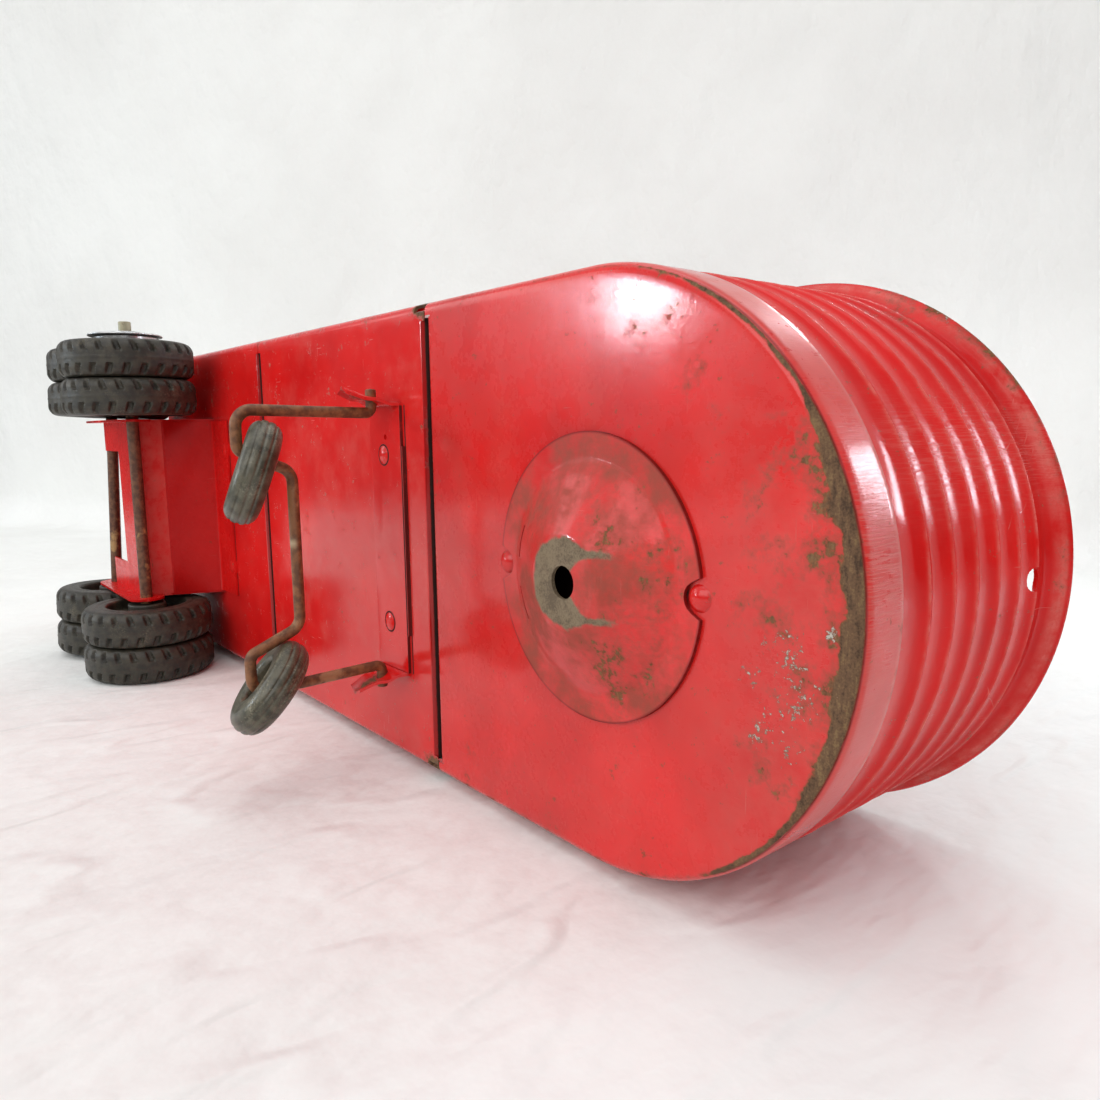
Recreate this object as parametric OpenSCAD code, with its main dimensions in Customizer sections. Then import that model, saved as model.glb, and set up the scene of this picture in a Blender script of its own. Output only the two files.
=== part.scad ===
// Toy semi-trailer of pressed sheet steel: an open ribbed body with a round nose, a floor of three
// pans, a coned hitch plate, a folding wire landing leg with two loose ring tyres, and a tandem
// bogie with eight rubber tyres. Millimetres. It is drawn upright in its own coordinates (x towards
// the nose, y to the left, z up from the floor's underside) and then laid on its left side.

/* [Body] */
// Width over the floor pans
body_w = 133.4; // [131:0.1:140]
// Length of the straight sides behind the round nose
side_len = 312.6; // [300:0.1:340]
// Height of the side wall above the floor's underside
wall_h = 77.6; // [76.5:0.1:90]
// Thickness of the body's sheet steel
sheet_t = 0.9; // [0.8:0.05:1]
// Length of the front pan's straight part, up to the first seam
front_pan_len = 66; // [60:0.5:72]
// Length of the middle pan
middle_pan_len = 121.4; // [115:0.1:125]
// Height of the pans' turned-up edge
pan_rim_h = 11.8; // [9:0.1:13]
// Number of ribs round the wall
rib_count = 6; // [4:1:6]
// Depth of the valleys between the ribs
rib_depth = 1.3; // [0.8:0.05:1.5]
// How far the top rail flares out past the pans
rail_flare = 2.8; // [2:0.1:4]
// Diameter of the hole in the nose wall
nose_hole_d = 5.4; // [3:0.1:6]

/* [Hitch] */
// Diameter of the hitch plate
hitch_d = 64.2; // [58:0.1:66]
// Height of the hitch cone below the floor
hitch_h = 8.45; // [7:0.05:10]
// Diameter of the king pin hole
king_hole_d = 7.3; // [5:0.1:9]

/* [Landing leg] */
// Distance of the leg's pivot behind the nose centre
leg_x = 88; // [86:0.5:94]
// Drop of the leg's pivot below the floor
leg_pivot_drop = 5.5; // [5:0.1:7]
// Diameter of the leg's wire
wire_d = 3.1; // [2.8:0.1:3.2]
// Running clearance of the wire in its ears, on the radius
wire_play = 0.08; // [0.05:0.01:0.1]
// Diameter of the ring tyres
ring_d = 28.6; // [27:0.1:29]
// Width of the ring tyres
ring_w = 9; // [8:0.1:9]
// Diameter of the ring tyres' hole
ring_hole_d = 12.4; // [12.4:0.1:13.2]

/* [Bogie] */
// Distance of the rear axle in front of the body's rear end
rear_axle_in = 11.6; // [8:0.1:16]
// Gap between the front and the rear tyres
tyre_clear = 1.2; // [0.6:0.1:4]
// Gap between the tyres and the floor
floor_clear = 5.9; // [5.6:0.1:9]
// Lean of the rear axle, its right end towards the floor
rear_lean = 2.7; // [0:0.1:2.7]
// Diameter of the axle rods
rod_d = 4.8; // [4:0.1:5]
// Running clearance of a rod in its bores, on the radius
rod_play = 0.08; // [0.05:0.01:0.1]
// How far a centred axle rod would stand out past the body at each end
rod_out = 6.85; // [6:0.05:9]
// Diameter of the road tyres
tyre_d = 50.8; // [48:0.1:51]
// Width of the road tyres
tyre_w = 14.6; // [13:0.1:14.7]
// Number of notches round each shoulder of a road tyre
notch_count = 25; // [18:1:30]

/* [Hidden] */
$fn = 96;
eps = 0.01;

// Body
body_r = body_w / 2;
rest_y = body_r + rail_flare;
pan_bend = 2.4;
lip_bend = 1.3;
lip_h = 4;
lip_half_w = body_r - 4;
seam_gap = 0.1;
seam1_x = -front_pan_len;
seam2_x = seam1_x - middle_pan_len;
rear_x = -side_len;
relief_len = 5.2;
relief_w = 2.4;
wall_t = 0.8;
wall_base_r = body_r - sheet_t;
wall_base_z = pan_bend;
rib_pitch = 9.17;
rib_first_z = 21;
ribs_top_z = rib_first_z + (rib_count - 0.5) * rib_pitch;
rail_z = wall_h - 5;
rail_r = body_r + 1.6;
nose_hole_z = rib_first_z + (rib_count - 1) * rib_pitch;
// Each point of a rib: height in pitches from its crest, and drop in rib depths
rib_shape = [[-0.5, 1], [-0.25, 0.88], [-0.1, 0.3], [0, 0], [0.1, 0.3], [0.25, 0.88]];

// Hitch plate
hitch_x = 0.8;
cone_base_r = 26;
cone_tip_r = 10.3;
slit_r = 22.8;
slit_w = 0.7;
hitch_rivet_x = [31.9, -30.1];
hitch_rivet_r = 2.85;
scallop_r = 3.4;

// Leg bracket, along x from its front edge
ear_t = 0.9;
ear_y = 39.5;
ear_drop = 14.5;
ear_waist_drop = 8;
ear_waist_half = 5.2;
ear_tip_half = 3;
bracket_front_x = -leg_x + 9;
bracket_len = 19;
step_y = 28;
step_x = 0.9;
leg_rivet_y = 25.3;
leg_rivet_x = -leg_x - 2.1;
leg_rivet_r = 2.9;
punch_at = [-leg_x - 0.7, -30.6];
punch_r = 0.8;

// Leg wire: corners of its left half, across and down, from the end in its ear to the cross bar
wire_r = wire_d / 2;
wire_half = [[ear_y + 5, -leg_pivot_drop], [ear_y - 1.95, -leg_pivot_drop], [ear_y - 1, -45],
    [27.8, -45], [21.7, -30.3]];
wire_half_bends = [0, 1.9, 4.5, 2.6, 4.5];
half_last = len(wire_half) - 1;
wire_pts = concat(wire_half, [for (i = [half_last : -1 : 0]) [-wire_half[i][0], wire_half[i][1]]]);
wire_bends = concat(wire_half_bends, [for (i = [half_last : -1 : 0]) wire_half_bends[i]]);
ring_groove_d = 0.5;
ring_round = 4;
// Where each ring tyre hangs on the wire, and the way its axis points
ring_right_at = [-leg_x + 0.85, -21.97, -41.3];
ring_right_axis = [0.307, 0.345, 0.887];
ring_left_at = [-leg_x - 0.59, 37.58, -39.77];
ring_left_axis = [0.231, 0.6275, 0.7437];

// Axles and tyres, from the outer side in
wheelbase = tyre_d + tyre_clear;
axle_drop = tyre_d / 2 + floor_clear;
rear_axle_x = rear_x + rear_axle_in;
front_axle_x = rear_axle_x + wheelbase;
rod_r = rod_d / 2;
bore_r = rod_r + rod_play;
rod_right_y = rest_y - body_w - 2 * rod_out;
cap_inset = 5.4;
cap_r = 14;
cap_neck_r = 11.5;
cap_t = 0.8;
cap_depth = 3.2;
washer_r = 6;
washer_t = 1.2;
tyre_gap = 0.3;
tyre_outer_y = body_r + 2.4;
tyre_inner_y = tyre_outer_y - 2 * tyre_w - tyre_gap;
tyre_r = tyre_d / 2;
tyre_round = 4;
recess_r = 15;
// The outer recess takes the hub cap with the rod pushed across
outer_recess = tyre_outer_y - (rest_y - cap_inset - cap_depth) + 0.1;
inner_recess = 4.2;
hub_r = 7.5;
notch_w = 2.2;
notch_depth = 1.6;
notch_len = 4.2;

// Bogie, from its front axle
bogie_side_t = 0.9;
bogie_half_w = tyre_inner_y - bogie_side_t - 1.6;
lobe_r = 7;
// The rear axle leans about its left bore. The ground pushes its rod and its left tyres along it
side_room = rest_y - bogie_half_w;
rear_rod_slide = (side_room - rod_r * sin(rear_lean)) / cos(rear_lean) - side_room;
tyre_flank_r = tyre_r - tyre_round;
rear_tyre_slide = min(0, bogie_half_w + tyre_round - tyre_outer_y
    + (side_room - tyre_round - tyre_flank_r * sin(rear_lean)) / cos(rear_lean));
// Front flange, front plate, facet and bottom plate, from the front axle
bogie_fold = [[23.2, 0], [5.8, 0], [-1.7, 11.3 - axle_drop], [-4.1, -axle_drop - 1.3],
    [lobe_r - wheelbase, -axle_drop - 1.5]];
notch_half_w = bogie_half_w - 12.6;
notch_front_x = 4 - wheelbase / 2;
tab_y = bogie_half_w - 12.1;
tab_r = 5;
bogie_rivet_r = 2.5;

// Middle of the whole length and height, which goes over the origin
mid_x = (rest_y + rear_axle_x - tyre_r) / 2;
rear_tread_y = tyre_outer_y + rear_tyre_slide - tyre_round - bogie_half_w;
tyres_drop = axle_drop + tyre_round + tyre_flank_r * cos(rear_lean) + rear_tread_y * sin(rear_lean);
mid_z = (wall_h - tyres_drop) / 2;

// Lays the upright drawing on its left side, with the rail on the ground
module lay() {
    translate([-mid_x, -mid_z, rest_y]) rotate([-90, 0, 0]) children();
}

// Extrudes a (y, z) outline along x
module along_x(x0, x1) {
    translate([x0, 0, 0]) rotate([90, 0, 90]) linear_extrude(x1 - x0) children();
}

// Extrudes an (x, z) outline along y
module along_y(y0, y1) {
    translate([0, y1, 0]) rotate([90, 0, 0]) linear_extrude(y1 - y0) children();
}

// Cylinder along y
module rod_y(r, y0, y1) {
    translate([0, y0, 0]) rotate([-90, 0, 0]) cylinder(r = r, h = y1 - y0);
}

// Cylinder of a rivet under the floor: a domed head, and a shank through the sheet
module rivet(r, head_h, stack) {
    sphere_r = (r * r + head_h * head_h) / (2 * head_h);
    rotate_extrude() intersection() {
        translate([0, -head_h]) square([r, head_h]);
        translate([0, sphere_r - head_h]) circle(sphere_r);
    }
    cylinder(r = r * 0.55, h = stack + eps);
    translate([0, 0, stack]) cylinder(r = r * 0.9, h = 0.8);
}

// Rectangle from the middle line out, with its outer lower corner rounded
module round_corner_2d(w, h, bend) {
    square([w - bend, h]);
    translate([0, bend]) square([w, h - bend]);
    translate([w - bend, bend]) circle(bend);
}

// Sheet that runs out flat and bends up into an edge
module bent_sheet_2d(w, h, bend) {
    difference() {
        round_corner_2d(w, h, bend);
        translate([-1, sheet_t]) round_corner_2d(w - sheet_t + 1, h, bend - sheet_t);
    }
}

// Floor pan between two seams, with a lip at each seam and a turned-up rim at each side
module pan(x_front, x_back, front_lip, reliefs) {
    front_x = front_lip ? x_front - seam_gap / 2 : x_front;
    back_x = x_back + seam_gap / 2;
    floor_front = front_lip ? front_x - lip_bend : front_x;
    floor_back = back_x + lip_bend;
    difference() {
        along_x(back_x, front_x) {
            bent_sheet_2d(body_r, pan_rim_h, pan_bend);
            mirror([1, 0]) bent_sheet_2d(body_r, pan_rim_h, pan_bend);
        }
        translate([back_x - 1, -lip_half_w, -1]) cube([lip_bend + 1, 2 * lip_half_w, 3]);
        if (front_lip)
            translate([floor_front, -lip_half_w, -1]) cube([lip_bend + 1, 2 * lip_half_w, 3]);
        if (reliefs) for (s = [-1, 1])
            translate([front_x - relief_len, s > 0 ? body_r - sheet_t - relief_w : -body_r + sheet_t, -1])
                cube([relief_len + 1, relief_w, 3.4]);
    }
    translate([floor_back + 5, 0, 0]) mirror([1, 0, 0]) along_y(-lip_half_w, lip_half_w)
        bent_sheet_2d(5 + lip_bend, lip_h, lip_bend);
    if (front_lip)
        translate([floor_front - 5, 0, 0]) along_y(-lip_half_w, lip_half_w)
            bent_sheet_2d(5 + lip_bend, lip_h, lip_bend);
}

module front_floor() {
    color("firebrick") lay() difference() {
        union() {
            rotate([0, 0, -90]) rotate_extrude(angle = 180)
                bent_sheet_2d(body_r, pan_rim_h, pan_bend);
            pan(0, seam1_x, false, false);
        }
        for (x = hitch_rivet_x)
            translate([x, 0, -1]) cylinder(r = hitch_rivet_r * 0.55, h = 3);
    }
}

module middle_floor() {
    color("firebrick") lay() difference() {
        pan(seam1_x, seam2_x, true, true);
        for (s = [-1, 1])
            translate([leg_rivet_x, s * leg_rivet_y, -1]) cylinder(r = leg_rivet_r * 0.55, h = 3);
    }
}

module rear_floor() {
    color("firebrick") lay() difference() {
        pan(seam2_x, rear_x, true, false);
        for (s = [-1, 1])
            translate([front_axle_x + bogie_fold[0][0] - 4, s * tab_y, -1])
                cylinder(r = bogie_rivet_r * 0.55, h = 3);
    }
}

// Outer line of the ribbed wall, from its foot to its rail
function wall_line() = concat(
    [[wall_base_r, wall_base_z], [wall_base_r, pan_rim_h], [body_r - rib_depth, pan_rim_h + 2]],
    [for (i = [0 : rib_count - 1]) for (q = rib_shape)
        [body_r - q[1] * rib_depth, rib_first_z + (i + q[0]) * rib_pitch]],
    [[body_r - rib_depth, ribs_top_z], [rail_r, max(rail_z, ribs_top_z + 1.2)],
        [rest_y, wall_h - 1], [rest_y, wall_h]]);

module wall_2d() {
    line = wall_line();
    last = len(line) - 1;
    polygon(concat(line, [for (i = [last : -1 : 0]) line[i] - [wall_t, 0]]));
}

// The wall is one sheet, drawn as its round nose and its two straight sides
module nose_wall() {
    color("firebrick") lay() difference() {
        rotate([0, 0, -90]) rotate_extrude(angle = 180) wall_2d();
        translate([body_r - 5, 0, nose_hole_z]) rotate([0, 90, 0])
            cylinder(d = nose_hole_d, h = 10);
    }
}

module left_wall() {
    color("firebrick") lay() along_x(rear_x + sheet_t, 0) wall_2d();
}

module right_wall() {
    color("firebrick") lay() mirror([0, 1, 0]) along_x(rear_x + sheet_t, 0) wall_2d();
}

// Plain end panel inside the wall, with a turned-in edge all round
module rear_panel() {
    half_w = body_r - rib_depth - wall_t;
    flange = 8;
    top = wall_h - 4;
    x0 = rear_x + sheet_t + seam_gap / 2;
    color("firebrick") lay() difference() {
        translate([x0, -half_w, pan_bend]) cube([flange, 2 * half_w, top - pan_bend]);
        translate([x0 + sheet_t, sheet_t - half_w, pan_bend + sheet_t])
            cube([flange, 2 * (half_w - sheet_t), top - pan_bend - 2 * sheet_t]);
    }
}

// Hitch plate: a thin disc pressed down into a cone, outline from the hole to the edge
module hitch_plate() {
    cone = [[king_hole_d / 2, -hitch_h], [cone_tip_r, -hitch_h], [cone_tip_r + 1.2, -hitch_h + 0.6],
        [cone_base_r - 3, -2.6], [cone_base_r, -sheet_t], [hitch_d / 2, -sheet_t]];
    inner = [for (i = [len(cone) - 1 : -1 : 0]) cone[i] + [0, sheet_t]];
    color("firebrick") lay() difference() {
        translate([hitch_x, 0, 0]) rotate_extrude() polygon(concat(cone, inner));
        for (x = hitch_rivet_x) translate([x, 0, -2]) cylinder(r = scallop_r, h = 3);
        for (a = [148, 186]) translate([hitch_x, 0, -hitch_h]) rotate([0, 0, a])
            rotate_extrude(angle = 20.5) translate([slit_r - slit_w / 2, 0])
                square([slit_w, hitch_h + 1]);
    }
}

module hitch_rivets() {
    color("firebrick") lay()
        for (x = hitch_rivet_x) translate([x, 0, 0]) rivet(hitch_rivet_r, 1.3, sheet_t);
}

// Landing leg's bracket: a plate on the floor with an ear bent down at each end
module leg_bracket() {
    back_x = bracket_front_x - bracket_len;
    ear = [[bracket_front_x - step_x, 0], [back_x, 0],
        [-leg_x - ear_waist_half, -ear_waist_drop], [-leg_x - ear_tip_half, -ear_drop],
        [-leg_x + ear_tip_half, -ear_drop], [-leg_x + ear_waist_half, -ear_waist_drop]];
    color("firebrick") lay() difference() {
        union() {
            translate([back_x, -ear_y - ear_t, -sheet_t])
                cube([bracket_len - step_x, 2 * (ear_y + ear_t), sheet_t]);
            translate([back_x, -step_y, -sheet_t]) cube([bracket_len, 2 * step_y, sheet_t]);
            for (s = [-1, 1]) along_y(s > 0 ? ear_y : -ear_y - ear_t, s > 0 ? ear_y + ear_t : -ear_y)
                polygon(ear);
        }
        translate([-leg_x, 0, -leg_pivot_drop]) rod_y(wire_r + wire_play, -ear_y - 5, ear_y + 5);
        for (s = [-1, 1]) translate([leg_rivet_x, s * leg_rivet_y, -2])
            cylinder(r = leg_rivet_r * 0.55, h = 3);
        translate(concat(punch_at, [-2])) cylinder(r = punch_r, h = 3);
    }
}

module leg_rivets() {
    color("firebrick") lay() for (s = [-1, 1])
        translate([leg_rivet_x, s * leg_rivet_y, -sheet_t]) rivet(leg_rivet_r, 0.9, 2 * sheet_t);
}

function turn(a, b) = ((b - a + 540) % 360) - 180;

// Round rod along a flat path: straight runs, let a little into the bends between them
module bent_rod(pts, bends, r) {
    last = len(pts) - 1;
    dirs = [for (i = [0 : last - 1]) let (d = pts[i + 1] - pts[i]) atan2(d[1], d[0])];
    trims = [for (i = [0 : last]) i == 0 || i == last ? 0
        : bends[i] * tan(abs(turn(dirs[i - 1], dirs[i])) / 2)];
    for (i = [0 : last - 1]) {
        let_in = 0.1;
        run = norm(pts[i + 1] - pts[i]) - trims[i] - trims[i + 1] + 2 * let_in;
        translate(concat(pts[i] + (trims[i] - let_in) * [cos(dirs[i]), sin(dirs[i])], [0]))
            rotate([0, 90, dirs[i]]) cylinder(r = r - eps, h = run);
    }
    for (i = [1 : last - 1]) {
        bend = turn(dirs[i - 1], dirs[i]);
        side = sign(bend);
        start = pts[i] - trims[i] * [cos(dirs[i - 1]), sin(dirs[i - 1])];
        centre = start + side * bends[i] * [-sin(dirs[i - 1]), cos(dirs[i - 1])];
        from = side > 0 ? dirs[i - 1] - 90 : dirs[i] + 90;
        translate(concat(centre, [0])) rotate([0, 0, from])
            rotate_extrude(angle = abs(bend)) translate([bends[i], 0]) circle(r);
    }
}

module leg_wire() {
    color("saddlebrown") lay() translate([-leg_x, 0, 0]) rotate([90, 0, 90])
        bent_rod(wire_pts, wire_bends, wire_r);
}

// Loose ring tyre about z: a round-edged band with three grooves
module ring_tyre() {
    r = ring_d / 2;
    rotate_extrude() difference() {
        intersection() {
            translate([ring_hole_d / 2, -ring_w / 2]) square([r - ring_hole_d / 2, ring_w]);
            union() {
                translate([0, -ring_w / 2]) square([r - ring_round, ring_w]);
                translate([0, ring_round - ring_w / 2]) square([r, ring_w - 2 * ring_round]);
                for (s = [-1, 1]) translate([r - ring_round, s * (ring_w / 2 - ring_round)])
                    circle(ring_round);
            }
        }
        for (h = [-2, 0, 2]) translate([r - ring_groove_d - abs(h) * 0.25, h - 0.3])
            square([2, 0.6]);
    }
}

// Turns z onto an axis and moves to a place
module place_on(at, axis) {
    translate(at) rotate([0, acos(axis[2] / norm(axis)), atan2(axis[1], axis[0])]) children();
}

module ring_tyre_right() {
    color("dimgray") lay() place_on(ring_right_at, ring_right_axis) ring_tyre();
}

module ring_tyre_left() {
    color("dimgray") lay() place_on(ring_left_at, ring_left_axis) ring_tyre();
}

// Moves to the middle of an axle
module at_axle(x) {
    translate([x, bogie_half_w, -axle_drop]) rotate([x == rear_axle_x ? -rear_lean : 0, 0, 0])
        translate([0, -bogie_half_w, 0]) children();
}

// Bogie bracket: one sheet folded down in front of the axles, with a lobed plate at each side
module bogie_bracket() {
    t = sheet_t;
    q = bogie_fold;
    fold = [[q[0][0], -t], [q[1][0] + 0.6, -t], q[2], q[3], q[4], q[4] + [0, t],
        q[3] + [-t, t], q[2] + [-t, 0.3], [q[1][0] - 0.4, 0], q[0]];
    side = [[q[1][0] + 0.6, 0], q[2], [q[3][0], -lobe_r * 0.5 - axle_drop], [0, -lobe_r - axle_drop],
        [-wheelbase, -lobe_r - axle_drop], [-wheelbase - lobe_r, -axle_drop],
        [-wheelbase - 2, 0]];
    color("firebrick") lay() difference() {
        translate([front_axle_x, 0, 0]) union() {
            along_y(-bogie_half_w, bogie_half_w) polygon(fold);
            for (s = [-1, 1]) {
                along_y(s > 0 ? bogie_half_w : -bogie_half_w - bogie_side_t,
                    s > 0 ? bogie_half_w + bogie_side_t : -bogie_half_w) {
                    polygon(side);
                    for (x = [0, -wheelbase]) translate([x, -axle_drop]) circle(lobe_r);
                }
                translate([q[0][0] - 4, s * tab_y, -t]) cylinder(r = tab_r, h = t);
            }
        }
        for (x = [front_axle_x, rear_axle_x])
            at_axle(x) rod_y(bore_r, -bogie_half_w - 5, bogie_half_w + 5);
        translate([front_axle_x + q[4][0] - 5, -notch_half_w, q[4][1] - 1])
            cube([notch_front_x - q[4][0] + 5, 2 * notch_half_w, t + 2]);
        for (s = [-1, 1]) translate([front_axle_x + q[0][0] - 4, s * tab_y, -2])
            cylinder(r = bogie_rivet_r * 0.55, h = 3);
    }
}

module bogie_rivets() {
    color("firebrick") lay() for (s = [-1, 1])
        translate([front_axle_x + bogie_fold[0][0] - 4, s * tab_y, -sheet_t])
            rivet(bogie_rivet_r, 0.5, 2 * sheet_t);
}

// Puts a piece on an axle's rod
module on_rod(x) {
    lay() at_axle(x) translate([0, x == rear_axle_x ? rear_rod_slide : 0, 0]) children();
}

module axle(x) {
    color("sienna") on_rod(x) rod_y(rod_r, rod_right_y, rest_y);
}

// Hub cap about z, with its flat rim up and its neck towards the tyre
module hub_cap() {
    rotate_extrude() polygon([[rod_r, cap_depth - cap_t], [cap_neck_r - cap_t, cap_depth - cap_t],
        [cap_neck_r - cap_t, 0], [cap_neck_r, 0], [cap_neck_r, cap_depth - cap_t],
        [cap_r, cap_depth - cap_t], [cap_r, cap_depth], [rod_r, cap_depth]]);
}

module hub_caps(x) {
    color("slategray") on_rod(x) {
        translate([0, rest_y - cap_inset - cap_depth, 0]) rotate([-90, 0, 0]) hub_cap();
        translate([0, rod_right_y + cap_inset + cap_depth, 0]) rotate([90, 0, 0]) hub_cap();
    }
}

module washers(x) {
    color("silver") on_rod(x) for (y = [rest_y - cap_inset, rod_right_y + cap_inset - washer_t])
        difference() {
            rod_y(washer_r, y, y + washer_t);
            rod_y(rod_r, y - 1, y + washer_t + 1);
        }
}

module front_axle() { axle(front_axle_x); }
module rear_axle() { axle(rear_axle_x); }
module front_hub_caps() { hub_caps(front_axle_x); }
module rear_hub_caps() { hub_caps(rear_axle_x); }
module front_washers() { washers(front_axle_x); }
module rear_washers() { washers(rear_axle_x); }

// Outline of a road tyre from its bore out, with its inner side down
module tyre_2d() {
    intersection() {
        translate([bore_r, 0]) square([tyre_r, tyre_w]);
        union() {
            square([tyre_r - tyre_round, tyre_w]);
            translate([0, tyre_round]) square([tyre_r, tyre_w - 2 * tyre_round]);
            for (h = [tyre_round, tyre_w - tyre_round]) translate([tyre_r - tyre_round, h])
                circle(tyre_round);
        }
    }
}

// Road tyre about z: hollow round its hub on the inner side, open on the outer side for the hub
// cap, with a row of notches round each shoulder
module road_tyre() {
    difference() {
        rotate_extrude() difference() {
            tyre_2d();
            translate([hub_r, -1]) square([recess_r - hub_r, inner_recess + 1]);
            translate([0, tyre_w - outer_recess]) square([recess_r, outer_recess + 1]);
        }
        for (upper = [0, 1]) for (i = [0 : notch_count - 1])
            rotate([0, 0, (i + upper / 2) * 360 / notch_count])
                translate([tyre_r - notch_depth, -notch_w / 2, upper ? tyre_w - notch_len : -1])
                    cube([5, notch_w, notch_len + 1]);
    }
}

// One tyre of a pair: side is 1 for left and -1 for right, slot is 0 for inner and 1 for outer
module tyre(x, side, slot) {
    y = side * (tyre_inner_y + slot * (tyre_w + tyre_gap));
    slide = side > 0 && x == rear_axle_x ? rear_tyre_slide : 0;
    color("dimgray") lay() at_axle(x) translate([0, y + slide, 0]) rotate([-90 * side, 0, 0])
        road_tyre();
}

nose_wall();
left_wall();
right_wall();
rear_panel();
front_floor();
middle_floor();
rear_floor();
hitch_plate();
hitch_rivets();
leg_bracket();
leg_rivets();
leg_wire();
ring_tyre_right();
ring_tyre_left();
bogie_bracket();
bogie_rivets();
front_axle();
rear_axle();
front_hub_caps();
rear_hub_caps();
front_washers();
rear_washers();
tyre(front_axle_x, 1, 0);  // tyre_front_left_inner
tyre(front_axle_x, 1, 1);  // tyre_front_left_outer
tyre(front_axle_x, -1, 0);  // tyre_front_right_inner
tyre(front_axle_x, -1, 1);  // tyre_front_right_outer
tyre(rear_axle_x, 1, 0);  // tyre_rear_left_inner
tyre(rear_axle_x, 1, 1);  // tyre_rear_left_outer
tyre(rear_axle_x, -1, 0);  // tyre_rear_right_inner
tyre(rear_axle_x, -1, 1);  // tyre_rear_right_outer
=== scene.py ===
import bmesh
import bpy
import numpy as np
from math import acos, asin, atan2, ceil, cos, pi, radians, sin, tan
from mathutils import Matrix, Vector


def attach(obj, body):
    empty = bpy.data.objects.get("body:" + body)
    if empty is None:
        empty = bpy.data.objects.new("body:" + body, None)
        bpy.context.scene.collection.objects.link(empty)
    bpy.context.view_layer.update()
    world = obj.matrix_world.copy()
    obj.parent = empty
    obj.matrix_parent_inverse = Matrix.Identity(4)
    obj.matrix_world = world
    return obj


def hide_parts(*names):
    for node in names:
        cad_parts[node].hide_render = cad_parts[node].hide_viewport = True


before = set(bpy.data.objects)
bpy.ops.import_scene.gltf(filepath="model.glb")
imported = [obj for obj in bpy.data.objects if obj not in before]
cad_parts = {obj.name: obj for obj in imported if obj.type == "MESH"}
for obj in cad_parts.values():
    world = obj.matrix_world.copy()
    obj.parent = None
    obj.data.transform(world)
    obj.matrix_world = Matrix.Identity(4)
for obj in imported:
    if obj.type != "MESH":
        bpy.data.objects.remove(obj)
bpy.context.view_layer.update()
print("frame: %d nodes" % len(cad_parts))

# Pieces are drawn upright in millimetres, x towards the nose, y to the left and z up from the
# floor's underside, and laid on their left side as they are put into their meshes.
body = {
    "halfWidth": 66.7,
    "restY": 69.5,          # rail that lies on the ground
    "middleX": -128.45,     # middle of the whole length and height, which goes over the origin
    "middleZ": 9.816,
    "sheet": 0.9,
    "rearX": -312.6,
    "seam1X": -66.0,
    "seam2X": -187.4,
}


def laid(points):
    # turns upright millimetres a quarter turn about x and gives metres
    x, y, z = points[..., 0], points[..., 1], points[..., 2]
    return np.stack([x - body["middleX"], z - body["middleZ"], body["restY"] - y], -1) / 1000


def places(x, y, z):
    # one array of points from three arrays that spread over one another
    return np.stack(np.broadcast_arrays(x, y, z), -1)


def unit(vector):
    return vector / np.linalg.norm(vector)


def smooth(value, low, high):
    # 0 below low, 1 above high, and a smooth step between them
    t = np.clip((value - low) / (high - low), 0, 1)
    return t * t * (3 - 2 * t)


def between(value, a, b, c, d):
    # rises from a to b and falls from c to d
    return smooth(value, a, b) * (1 - smooth(value, c, d))


def bump(value, width):
    # bell curve of height 1
    return np.exp(-(value / width) ** 2)


def roundedPath(corners, radii, step):
    # straight runs between the corners, and an arc of the given radius at each inner one
    corners = np.asarray(corners, float)
    parts = [corners[:1]]
    for before, corner, after, radius in zip(corners[:-2], corners[1:-1], corners[2:], radii):
        arrive, leave = unit(corner - before), unit(after - corner)
        turn = acos(np.clip(arrive @ leave, -1, 1))
        if radius == 0 or turn < 1e-4:
            parts.append(corner[None])
            continue
        start = corner - arrive * radius * tan(turn / 2)
        centre = corner + unit(leave - arrive) * radius / cos(turn / 2)
        angle = np.linspace(0, turn, max(3, ceil(radius * turn / step) + 1))[:, None]
        parts.append(centre + (start - centre) * np.cos(angle) + arrive * radius * np.sin(angle))
    parts.append(corners[-1:])
    return np.concatenate(parts)


def divided(line, step):
    # the same line with extra points wherever two of its own lie further apart than the step
    gaps = np.linalg.norm(np.diff(line, axis=0), axis=1)
    count = np.maximum(1, np.ceil(gaps / step - 1e-6)).astype(int)
    piece = np.repeat(np.arange(len(count)), count)
    within = (np.arange(count.sum()) - np.repeat(np.cumsum(count) - count, count)) / count[piece]
    inner = line[piece] + (line[piece + 1] - line[piece]) * within[:, None]
    return np.concatenate([inner, line[-1:]])


def cells(nu, nv, closedU, closedV=False):
    # the numbers of a grid's points, first row or column repeated where it is closed, and its quads
    ids = np.arange(nu * nv).reshape(nu, nv)
    if closedU:
        ids = np.vstack([ids, ids[:1]])
    if closedV:
        ids = np.hstack([ids, ids[:, :1]])
    return ids, np.stack([ids[:-1, :-1], ids[1:, :-1], ids[1:, 1:], ids[:-1, 1:]], -1)


def gridChunk(points, closedU=False, closedV=False, **marks):
    # a grid of points, with quads between neighbours and a value at each point for every mark
    nu, nv = points.shape[:2]
    quads = cells(nu, nv, closedU, closedV)[1].reshape(-1, 4)
    return {"points": points.reshape(-1, 3), "quads": quads,
            "marks": {k: np.broadcast_to(v, (nu, nv)).ravel() for k, v in marks.items()}}


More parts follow.
